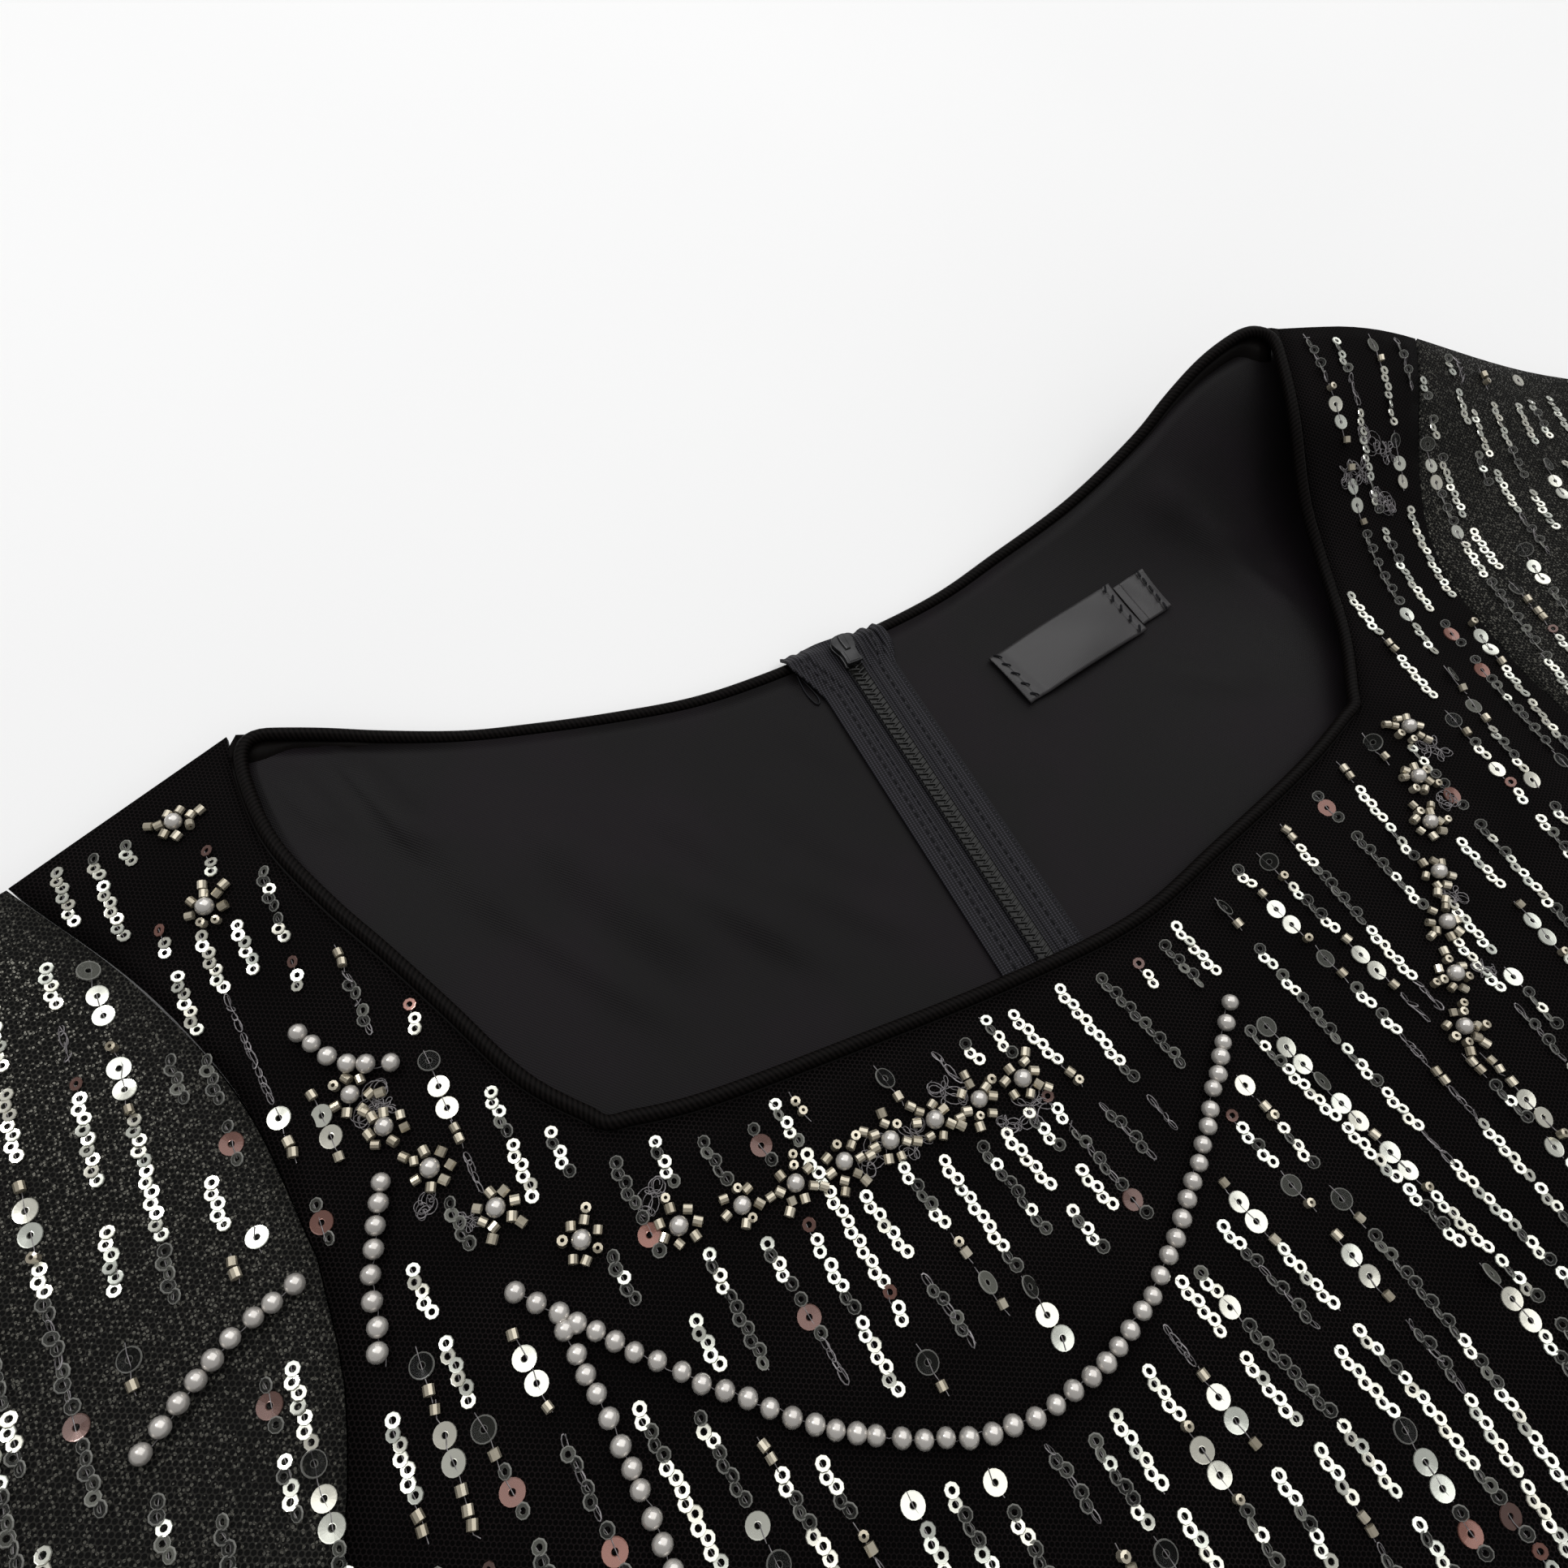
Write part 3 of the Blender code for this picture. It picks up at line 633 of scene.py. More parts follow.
BRIGHT = PlainFinish("bright_sequin", (0.70, 0.73, 0.66, 1), (0.76, 0.74, 0.64, 1), 0.22, 0.80, 0.3,
                     300.0, 0.000004)
# Clear sequins: dark faces, and a rim painted lighter as a highlight.
CLEAR = PlainFinish("clear_sequin", (0.006, 0.0065, 0.006, 1), (0.21, 0.215, 0.185, 1), 0.13, 0.0, 0.0,
                    # The few light grey clear sequins left by the skew of 5 are partly painted glare.
                    300.0, 0.000004, see_through=0.62, gloss=0.12, rim=0.95, skew=5.0)
COPPER = PlainFinish("copper_sequin", (0.26, 0.115, 0.088, 1), (0.12, 0.07, 0.06, 1), 0.18, 0.45, 0.4,
                     300.0, 0.000004, see_through=0.9)
CHAMPAGNE = PlainFinish("champagne_glass", (0.36, 0.315, 0.23, 1), (0.68, 0.62, 0.49, 1), 0.13, 0.6, 0.8)
PEARL = PlainFinish("ivory_pearl", (0.56, 0.53, 0.495, 1), (0.66, 0.63, 0.59, 1), 0.24, 0.55, 1.0,
                    500.0, 0.000004)
LUREX = PlainFinish("metal_thread", (0.13, 0.122, 0.126, 1), (0.32, 0.30, 0.308, 1), 0.4, 0.3, tinted=False)
FLOOR = PlainFinish("pale_floor", (0.93, 0.93, 0.93, 1), (0.95, 0.95, 0.95, 1), 0.9, grain=3.0, tinted=False,
                    gloss=0.1, glow=0.01)


class Piece:
    """Making one named piece from points."""

    @staticmethod
    def joined(name: str, patches: Sequence[np.ndarray], closed: bool, flipped: bool = False,
               finish: Optional[Finish] = None) -> bpy.types.Object:
        """Join rows of points into a surface.

        Args:
            name: the piece's name.
            patches: grids of points in millimetres, welded where they share an edge.
            closed: whether each row closes on itself.
            flipped: whether the faces turn the other way.
            finish: the piece's finish.

        Returns:
            The new object.
        """
        verts, faces, base = [], [], 0
        for rows in patches:
            rows = np.asarray(rows, dtype=float)
            down, across = rows.shape[0], rows.shape[1]
            verts.append(put_down(rows.reshape(-1, 3)))
            i, j = np.meshgrid(np.arange(down - 1), np.arange(across if closed else across - 1),
                               indexing="ij")
            k = (j + 1) % across
            corner = [base + i * across + j, base + (i + 1) * across + j,
                      base + (i + 1) * across + k, base + i * across + k]
            faces.append(np.stack(corner[::-1] if flipped else corner, axis=-1).reshape(-1, 4))
            base += down * across
        mesh = bpy.data.meshes.new(name)
        mesh.from_pydata(np.vstack(verts), [], np.vstack(faces).tolist())
        if len(patches) > 1:
            build = bmesh.new()
            build.from_mesh(mesh)
            bmesh.ops.remove_doubles(build, verts=build.verts, dist=0.02 * MM)
            build.to_mesh(mesh)
            build.free()
        mesh.shade_smooth()
        return Piece.placed(name, mesh, finish)

    @staticmethod
    def placed(name: str, mesh: bpy.types.Mesh, finish: Optional[Finish]) -> bpy.types.Object:
        """Link a mesh as an object of the dress."""
        obj = bpy.data.objects.new(name, mesh)
        bpy.context.scene.collection.objects.link(obj)
        if finish is not None:
            obj.data.materials.clear()
            obj.data.materials.append(finish.material())
        return obj

    @staticmethod
    def wall(obj: bpy.types.Object, thickness: float, inward: bool = False) -> None:
        """Give an open surface a wall, upwards or, on a tube, inwards."""
        shell = obj.modifiers.new("wall", "SOLIDIFY")
        shell.thickness = thickness * MM
        shell.offset = -1.0 if inward else 1.0
        shell.use_even_offset = True

    @staticmethod
    def tube(name: str, line: np.ndarray, radius: float, sides: int, finish: Finish) -> bpy.types.Object:
        """A closed round cord along a line, with a UV map of its length and its way round.

        Args:
            name: the piece's name.
            line: its centre line in millimetres.
            radius: its radius.
            sides: how many sides it has.
            finish: its finish.

        Returns:
            The new object.
        """
        line = np.asarray(line, dtype=float)
        along = np.gradient(line, axis=0)
        along /= np.linalg.norm(along, axis=1)[:, None]
        aside = np.cross(along, (0.0, 0.0, 1.0))
        aside /= np.linalg.norm(aside, axis=1)[:, None]
        up = np.cross(aside, along)
        turn = np.linspace(0, 2 * math.pi, sides, endpoint=False)
        rows = (line[:, None] + radius * (np.cos(turn)[None, :, None] * aside[:, None]
                                          + np.sin(turn)[None, :, None] * up[:, None]))
        obj = Piece.joined(name, [rows], True, finish=finish)
        build = bmesh.new()
        build.from_mesh(obj.data)
        build.verts.ensure_lookup_table()
        run = np.concatenate([[0], np.cumsum(np.linalg.norm(np.diff(line, axis=0), axis=1))]) * MM
        uv = build.loops.layers.uv.new("length")
        for face in build.faces:
            columns = [loop.vert.index % sides for loop in face.loops]
            for loop, column in zip(face.loops, columns):
                around = sides if column == 0 and sides - 1 in columns else column
                loop[uv].uv = (run[loop.vert.index // sides], around / sides)
        build.to_mesh(obj.data)
        build.free()
        return Piece.capped(obj, sides)

    @staticmethod
    def capped(obj: bpy.types.Object, count: int) -> bpy.types.Object:
        """Close both ends of a tube whose sections have count points."""
        build = bmesh.new()
        build.from_mesh(obj.data)
        build.verts.ensure_lookup_table()
        for first in (0, len(build.verts) - count):
            build.faces.new([build.verts[first + i] for i in range(count)])
        bmesh.ops.recalc_face_normals(build, faces=build.faces)
        build.to_mesh(obj.data)
        build.free()
        return obj

    @staticmethod
    def merged(name: str, parts: Sequence[bpy.types.Object]) -> bpy.types.Object:
        """Merge several objects into the first of them, under a new name."""
        build = bmesh.new()
        for part in parts:
            build.from_mesh(part.data)
        build.to_mesh(parts[0].data)
        build.free()
        for part in parts[1:]:
            bpy.data.objects.remove(part, do_unlink=True)
        parts[0].name = name
        return parts[0]

    @staticmethod
    def slab(outline: Sequence[tuple], low: float, high: float, edge: float,
             finish: Finish) -> bpy.types.Object:
        """A plate with rounded edges.

        Args:
            outline: its corners in plan, in millimetres.
            low: the height of its underside.
            high: the height of its top.
            edge: how far its edges are rounded.
            finish: its finish.

        Returns:
            The new object.
        """
        build = bmesh.new()
        ring = [build.verts.new(tuple(put_down(np.array((x, y, low))))) for x, y in outline]
        raised = bmesh.ops.extrude_face_region(build, geom=[build.faces.new(ring)])
        top = [item for item in raised["geom"] if isinstance(item, bmesh.types.BMVert)]
        bmesh.ops.translate(build, verts=top, vec=(0.0, 0.0, (high - low) * MM))
        level = [e for e in build.edges if abs(e.verts[0].co.z - e.verts[1].co.z) < 1e-7]
        bmesh.ops.bevel(build, geom=level, offset=edge * MM, segments=2, profile=0.5, affect="EDGES")
        bmesh.ops.recalc_face_normals(build, faces=build.faces)
        mesh = bpy.data.meshes.new("slab")
        build.to_mesh(mesh)
        build.free()
        return Piece.placed("slab", mesh, finish)


def with_height(plan: np.ndarray, height: Height) -> np.ndarray:
    """Give a plan its height."""
    return np.dstack([plan[..., 0], plan[..., 1], height(plan[..., 0], plan[..., 1])])


def ride_as(obj: bpy.types.Object, slot: str, *nodes: str) -> bpy.types.Object:
    """Let a piece ride on the dress and let it stand for its solids."""
    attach(obj, "root")
    if nodes:
        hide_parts(*nodes)
    LOG.info("%s: %d faces", obj.name, len(obj.data.polygons))
    return obj


@dataclass
class ClothPanels:
    """The front, the outer back, its lining and the sleeves."""

    strap_cells: int = 10
    strap_rows: int = 26
    arm_rows: int = 22
    front_cells: int = 44
    back_cells: int = 34
    shoulder_cells: int = 8
    skirt_step: float = 11.0

    def skirt_rows(self, first: np.ndarray, end_y: float, seam: Optional[float] = None) -> np.ndarray:
        """Rows below the underarm that keep each point's share of the width.

        Args:
            first: the row at the underarm.
            end_y: where the rows end.
            seam: the centre-back seam that the shares start from, if there is one.

        Returns:
            The rows below the first one.
        """
        count = max(2, round((CUT.underarm_y - end_y) / self.skirt_step))
        rows = []
        for y in np.linspace(CUT.underarm_y, end_y, count + 1)[1:]:
            half = float(CUT.half_width(y))
            if seam is None:
                x = first[:, 0] / 262.0 * half
            else:
                edge = math.copysign(half, first[-1, 0])
                x = seam + (first[:, 0] - seam) / (first[-1, 0] - seam) * (edge - seam)
            rows.append(np.column_stack([x, np.full(len(x), y)]))
        return np.array(rows)

    def front_plans(self) -> list:
        """The plans of the two straps and of the body of the front."""
        neck = moved_right(CUT.neck_line(self.strap_rows, self.front_cells), CUT.piping_r + CUT.piping_gap)
        left, right = (CUT.armhole(side, self.strap_rows, self.arm_rows) for side in (-1, 1))
        first, last = self.strap_rows, self.strap_rows + self.front_cells
        neck_right = neck[last:][::-1]
        steps = self.strap_cells + 1
        strap_left = np.array([np.linspace(left[i], neck[i], steps) for i in range(first + 1)])
        strap_right = np.array([np.linspace(neck_right[i], right[i], steps) for i in range(first + 1)])
        top = np.vstack([strap_left[-1], neck[first + 1:last], strap_right[-1]])
        spread = np.concatenate([np.linspace(-262, -150, steps)[:-1],
                                 np.linspace(-150, 150, self.front_cells + 1),
                                 np.linspace(150, 262, steps)[1:]])
        bottom = np.column_stack([spread, np.full(len(spread), CUT.underarm_y)])
        yoke = filled(top, bottom, left[first:], right[first:])
        return [strap_left, strap_right, np.concatenate([yoke, self.skirt_rows(yoke[-1], CUT.hem_y)])]

    def make_front(self) -> bpy.types.Object:
        """Make the front."""
        patches = [with_height(plan, CUT.front_floor) for plan in self.front_plans()]
        front = Piece.joined("front_cloth", patches, False, finish=NET)
        Piece.wall(front, CUT.front_wall)
        return ride_as(front, "beaded_net", "front")

    def back_plan(self, side: int, end_y: float) -> np.ndarray:
        """Plan of one half of the back, from the centre back to the side seam."""
        neck = smooth_line(CUT.back_left if side < 0 else CUT.back_right, self.back_cells)
        neck = moved_right(neck, side * (CUT.piping_r + CUT.piping_gap))
        seam = CUT.centre_back_x + side * 0.2
        neck[0, 0] = seam
        arm = CUT.armhole(side, self.strap_rows, self.arm_rows)
        top = np.vstack([neck, np.linspace(neck[-1], arm[0], self.shoulder_cells + 1)[1:]])
        spread = np.concatenate([np.linspace(seam, side * 212, self.back_cells + 1),
                                 np.linspace(side * 212, side * 262, self.shoulder_cells + 1)[1:]])
        bottom = np.column_stack([spread, np.full(len(spread), CUT.underarm_y)])
        bodice = filled(top, bottom, np.linspace(top[0], bottom[0], len(arm)), arm)
        return np.concatenate([bodice, self.skirt_rows(bodice[-1], end_y, seam)])

    def make_back(self, side: int) -> list:
        """Make one half of the outer back and its lining."""
        word = "left" if side < 0 else "right"
        outer = with_height(self.back_plan(side, CUT.hem_y), CUT.back_floor)
        inner = with_height(self.back_plan(side, CUT.lining_end_y), CUT.lining_floor)
        back = Piece.joined(f"back_{word}_cloth", [outer], False, side < 0, NET)
        Piece.wall(back, CUT.back_wall)
        lining = Piece.joined(f"back_lining_{word}_cloth", [inner], False, side < 0, TWILL)
        Piece.wall(lining, CUT.lining_wall)
        return [ride_as(back, "beaded_net", f"back_{word}"),
                ride_as(lining, "lining_cloth", f"back_lining_{word}")]

    def sleeve_plan(self, side: int, rows: int) -> np.ndarray:
        """Plan of a sleeve, from the armhole to the cuff."""
        seam = CUT.armhole(1, self.strap_rows, self.arm_rows)
        lean = CUT.front_wall * np.sqrt(1.0 - CUT.steepness(side * seam[:, 0], seam[:, 1]) ** -2)
        start = moved_right(seam, -(CUT.armhole_gap + 1.1 * lean)[:, None])
        shoulder, under = smooth_line(CUT.sleeve_top, rows), smooth_line(CUT.sleeve_under, rows)
        shoulder += np.linspace(start[0] - shoulder[0], (0, 0), rows + 1)
        under += np.linspace(start[-1] - under[0], (0, 0), rows + 1)
        return filled(start, np.linspace(shoulder[-1], under[-1], len(start)), shoulder, under)

    def make_sleeve(self, side: int) -> bpy.types.Object:
        """Make one flat sleeve: a tube of rings from the armhole to the cuff."""
        rings = []
        plan = self.sleeve_plan(side, 20)
        for i, row in enumerate(plan):
            reach = i / (len(plan) - 1)
            x, y = side * row[:, 0], row[:, 1]
            share = np.linspace(0, 1, len(row))
            ripple = 0.5 * np.sin(9.0 * share + 5.0 * reach) * ease(3 * reach) * np.sin(math.pi * share)
            top = CUT.sleeve_top_height(x, y) + 1.5 * np.sin(math.pi * share) * ease(3 * reach) + ripple
            low = CUT.back_floor(x, y)
            outward = (row[0] - row[-1]) / np.linalg.norm(row[0] - row[-1]) * np.array([side, 1.0])
            edges = []
            for end, sign in ((0, 1.0), (-1, -1.0)):
                turn = np.linspace(0, math.pi, 6)[1:-1]
                spread = 2.4 * ease(3 * reach) * np.sin(turn)[:, None] * sign
                place = np.array([x[end], y[end]]) + spread * outward
                height = (top[end] + low[end]) / 2 + (top[end] - low[end]) / 2 * np.cos(turn)
                edges.append(np.column_stack([place, height]))
            rings.append(np.vstack([np.column_stack([x, y, top]), edges[1],
                                    np.column_stack([x, y, low])[::-1], edges[0][::-1]]))
        word = "left" if side < 0 else "right"
        sleeve = Piece.joined(f"sleeve_{word}_cloth", [np.array(rings)], True, side > 0, SHEER)
        Piece.wall(sleeve, CUT.sleeve_wall, inward=True)
        return ride_as(sleeve, "sheer_net", f"sleeve_{word}")

    @staticmethod
    def plan_area(plans: Sequence[np.ndarray]) -> float:
        """Flat area of plans, in square metres."""
        total = 0.0
        for plan in plans:
            a, b, c, d = plan[:-1, :-1], plan[1:, :-1], plan[1:, 1:], plan[:-1, 1:]
            p, q = c - a, d - b
            total += float(np.abs(p[..., 0] * q[..., 1] - p[..., 1] * q[..., 0]).sum()) / 2
        return total * MM * MM

    def make(self) -> dict:
        """Make every panel.

        Returns:
            The panels by name.
        """
        front = self.make_front()
        made = {"front": front}
        self.plan_area(self.front_plans())
        for side in (-1, 1):
            back, lining = self.make_back(side)
            outer, inner = self.back_plan(side, CUT.hem_y), self.back_plan(side, CUT.lining_end_y)
            sleeve = self.make_sleeve(side)
            2.06 * self.plan_area([self.sleeve_plan(side, 20)])
            made |= {back.name: back, lining.name: lining, sleeve.name: sleeve}
        return made


@dataclass
class NeckPiping:
    """Corded piping round the neck, in one run from zip to zip, with the flange that is sewn in."""

    sides: int = 14
    zip_gap: float = 6.0
    corner: float = 6.5
    flange: float = 3.6
    flange_half_wall: float = 0.2

    def runs(self) -> list:
        """Centre lines of the left back, the front and the right back, in the order that the cord takes."""
        front = CUT.neck_line(60, 90)
        front = np.column_stack([front, CUT.front_floor(front[:, 0], front[:, 1]) + CUT.piping_r + 0.05])
        backs = []
        for table, shoulder in ((CUT.back_left, front[0]), (CUT.back_right, front[-1])):
            back = smooth_line(table, 96)
            back = back[np.abs(back[:, 0] - CUT.centre_back_x) > self.zip_gap]
            low = CUT.back_floor(back[:, 0], back[:, 1]) + CUT.piping_r + 0.2
            blend = ease(np.linspace(1, 0, len(back)) / 0.4)
            backs.append(np.column_stack([back, (1 - blend) * (low + shoulder[2] - low[-1]) + blend * low]))
        return [backs[0], front, backs[1][::-1]]

    def cord_line(self) -> np.ndarray:
        """The whole centre line, rounded at the shoulders."""
        runs = self.runs()
        line = runs[0]
        for following in runs[1:]:
            tail = line[np.linalg.norm(line - line[-1], axis=1) > self.corner]
            head = following[np.linalg.norm(following - following[0], axis=1) > self.corner]
            t = np.linspace(0, 1, 14)[1:-1, None]
            bend = (1 - t) ** 2 * tail[-1] + 2 * t * (1 - t) * line[-1] + t**2 * head[0]
            line = np.vstack([tail, bend, head])
        return smooth_line(line[::2], 520)

    def strip(self, line: np.ndarray, cloth_side: int, height: Height) -> bpy.types.Object:
        """The flange of one run, from inside the cord into the seam.

        Args:
            line: the cord's centre line.
            cloth_side: 1 where the cloth lies to the right of the line, -1 to the left.
            height: the height at which it is sewn in.

        Returns:
            The strip.
        """
        corners = [np.array(point) for point in (CUT.neck_left[0], CUT.neck_right[-1])]
        near = np.min([np.linalg.norm(line[:, :2] - corner, axis=1) for corner in corners], axis=0)
        width = self.flange + 4.0 * ease(1.3 - near / 10.0)
        plan = moved_right(line[:, :2], (cloth_side * width)[:, None])
        inner, outer = np.array(CUT.neck_right[-1]), CUT.armhole(1, 2, 2)[0]
        shoulder = inner[1] + (np.abs(plan[:, 0]) - inner[0]) * (outer[1] - inner[1]) / (outer[0] - inner[0])
        plan[:, 1] = np.where(np.abs(plan[:, 0]) > inner[0], np.minimum(plan[:, 1], shoulder - 0.4),
                              plan[:, 1])
        sewn = np.column_stack([plan, height(plan[:, 0], plan[:, 1])])
        half = np.array([0.0, 0.0, self.flange_half_wall])
        rows = np.stack([line + half, sewn + half, sewn - half, line - half], axis=1)
        return Piece.capped(Piece.joined("strip", [rows], True, finish=PIPING), 4)

    def make(self) -> list:
        """Make the piping."""
        left, front, right = self.runs()
        cord = Piece.tube("cord", self.cord_line(), CUT.piping_r, self.sides, PIPING)
        in_lining = lambda x, y: CUT.lining_floor(x, y) + CUT.lining_wall / 2
        in_front = lambda x, y: CUT.front_floor(x, y) + CUT.front_wall / 2
        piping = Piece.merged("neck_piping_cord", [cord, self.strip(left, -1, in_lining),
                                                   self.strip(front, 1, in_front),
                                                   self.strip(right, -1, in_lining)])
        return [ride_as(piping, "piping_cloth", "neck_piping_front", "neck_piping_back_left",
                        "neck_piping_back_right")]


@dataclass
class ConcealedZip:
    """Concealed zip down the centre back: ribbed tapes, a nylon coil and the closed slider."""

    tape_width: float = 11.0
    tape_wall: float = 0.8
    coil_width: float = 4.2
    coil_height: float = 1.5
    tooth_pitch: float = 1.6
    stitch_pitch: float = 2.5
    slider_y: float = 138.4
    slider: tuple = ((4.9, 1.1), (4.6, 2.1), (3.9, 2.8), (2.7, 3.1), (1.2, 2.8), (-0.3, 2.25), (-2.3, 2.15),
                     (-3.9, 2.35), (-4.3, 2.1))
    stitch_rows: tuple = ((-1, 5.3, 1.0), (-1, 7.6, 1.0), (1, 6.8, 1.0), (1, 10.3, 0.5))
    loose_thread: tuple = ((-19.2, 138.4), (-19.7, 133.6), (-19.2, 129.9), (-18.3, 128.6), (-17.5, 130.2),
                           (-17.9, 133.6), (-18.6, 137.0))

    def base(self) -> float:
        """Underside of the tapes over the flat lining."""
        return CUT.back_wall + 0.3 + CUT.lining_wall + 0.3

    def top_y(self) -> float:
        """Where the tapes end at the neck."""
        return CUT.back_left[0].y - 0.5

    def place(self, side: int, across: np.ndarray, y: np.ndarray) -> np.ndarray:
        """Points of a tape's underside, with the welt beside the coil and the loose crumpled end.

        Args:
            side: -1 for the left tape, 1 for the right one.
            across: distance from the middle of the zip.
            y: height along the zip.

        Returns:
            One point for each pair of values, in millimetres.
        """
        welt = 0.5 * np.exp(-((across - 3.3) / 0.6) ** 2) + 0.2 * np.exp(-((across - 4.6) / 0.25) ** 2)
        free = ease((across - 2.3) / 2.0)
        if side < 0:
            loose = ease((y - 127.0) / 15.0)
            x = across + 4.6 * loose * free
            lift = free * (1.3 * ease((y - 129.0) / 8.0) - 3.6 * ease((y - 141.0) / 5.0)
                           + 0.35 * loose * np.sin(2 * math.pi * across / 3.4))
        else:
            loose = ease((y - 131.0) / 9.0)
            x = across + 2.6 * loose * ease((across - 3.0) / 6.0)
            lift = free * (loose * (0.9 + 0.75 * np.sin(2 * math.pi * across / 2.7 + 0.12 * y))
                           - 2.6 * ease((y - 141.5) / 4.0))
        px = CUT.centre_back_x + side * x
        return np.column_stack([px, y, self.base() + CUT.back_floor(px, y) + welt + lift])

    def make_tape(self, side: int) -> bpy.types.Object:
        """Make one tape."""
        word = "left" if side < 0 else "right"
        across = np.linspace(0.2, self.tape_width, 36)
        ends = np.concatenate([np.linspace(self.top_y() + 3.0, 125.0, 34),
                               np.linspace(125.0, CUT.zip_end_y, 130)[1:]])
        rows = [self.place(side, across, np.full(len(across), y)) for y in ends]
        tape = Piece.joined(f"zip_tape_{word}_weave", [np.array(rows)], False, side < 0, TAPE)
        Piece.wall(tape, self.tape_wall)
        ride_as(tape, "zip_tape", f"zip_tape_{word}")
        return tape

    def make_stitches(self) -> bpy.types.Object:
        """Make the rows of stitches that hold the tapes."""
        places = Sewing()
        for side, across, size in self.stitch_rows:
            for y in np.arange(self.top_y() - 1.0, CUT.zip_end_y + 2.0, -self.stitch_pitch * size):
                here, ahead = (self.place(side, np.array([across]), np.array([at]))[0] for at in (y, y - 0.5))
                places.add(Vector(put_down(here + np.array([0.0, 0.0, self.tape_wall + 0.03]))),
                           Vector(ahead - here), Vector((0.0, 0.0, 1.0)), size)
        stitches = Repeats.grown("zip_tape_stitches", places.mesh("zip_stitch_points"), Repeats.shape_tree,
                                 {"Shape": Shapes().dash(), "Finish": STITCH.material(), "Seed": 11})
        return ride_as(stitches, "zip_tape")

    def make_coil(self) -> bpy.types.Object:
        """Make the coil: a flat core and its slanting turns."""
        floor = self.base() + 1.3
        top = self.slider_y - 3.9
        turn = np.linspace(0, 2 * math.pi, 12, endpoint=False)
        rows = [np.column_stack([CUT.centre_back_x + 0.48 * self.coil_width * np.cos(turn), np.full(12, y),
                                 floor + 0.3 + 0.3 * (1 + np.sin(turn))])
                for y in np.linspace(top, CUT.zip_end_y + 4.0, 60)]
        core = Piece.capped(Piece.joined("core", [np.array(rows)], True, finish=COIL), 12)
        places = Sewing()
        for y in np.arange(top, CUT.zip_end_y + 5.0, -self.tooth_pitch):
            places.add(Vector(put_down(np.array([CUT.centre_back_x, y, floor]))), Vector((1.0, 0.0, 0.0)),
                       Vector((0.0, 0.0, 1.0)), 1.0)
        teeth = Repeats.grown("teeth", places.mesh("zip_tooth_points"), Repeats.shape_tree,
                              {"Shape": Shapes().tooth(), "Finish": COIL.material(), "Seed": 5})
        return ride_as(Piece.merged("zip_coil_chain", [core, teeth]), "zip_coil", "zip_coil")

    def make_slider(self) -> bpy.types.Object:
        """Make the slider: two plates, the body between them and the ridge on top."""
        floor = self.base() + 1.2

        def outline(share: float, low: float = -6.0, high: float = 6.1) -> list:
            """The plan of the slider, made narrower by a share and cut to a stretch of its length."""
            rows = [(y, half * share) for y, half in self.slider if low <= y <= high]
            return ([(CUT.centre_back_x + half, self.slider_y + y) for y, half in rows]
                    + [(CUT.centre_back_x - half, self.slider_y + y) for y, half in rows[::-1]])

        parts = [Piece.slab(outline(1.0), floor, floor + 0.9, 0.25, GUNMETAL),
                 Piece.slab(outline(0.8), floor + 0.7, floor + 2.1, 0.2, GUNMETAL),
                 Piece.slab(outline(1.0), floor + 1.9, floor + 2.8, 0.3, GUNMETAL),
                 Piece.slab(outline(0.3, -0.4, 4.7), floor + 2.6, floor + 3.4, 0.3, GUNMETAL),
                 Piece.slab(outline(0.62, -4.0, -0.2), floor + 2.6, floor + 2.95, 0.12, GUNMETAL)]
        return ride_as(Piece.merged("zip_slider_body", parts), "zip_metal", "zip_slider")

    def make_loose_thread(self) -> bpy.types.Object:
        """Make the loop of thread that has come loose beside the left tape."""
        line = smooth_line(self.loose_thread, 30)
        top = CUT.lining_top(line[:, 0], line[:, 1]) + 0.35
        mesh = bpy.data.meshes.new("loose_thread_line")
        mesh.from_pydata(put_down(np.column_stack([line, top])).tolist(), [(i, i + 1) for i in range(30)], [])
        thread = Repeats.grown("zip_loose_thread", mesh, Repeats.thread_tree,
                               {"Radius": 0.22 * MM, "Sides": 5, "Finish": STITCH.material()})
        return ride_as(thread, "zip_tape")

    def make(self) -> list:
        """Make the whole zip."""
        return [self.make_tape(-1), self.make_tape(1), self.make_stitches(), self.make_coil(),
                self.make_slider(), self.make_loose_thread()]


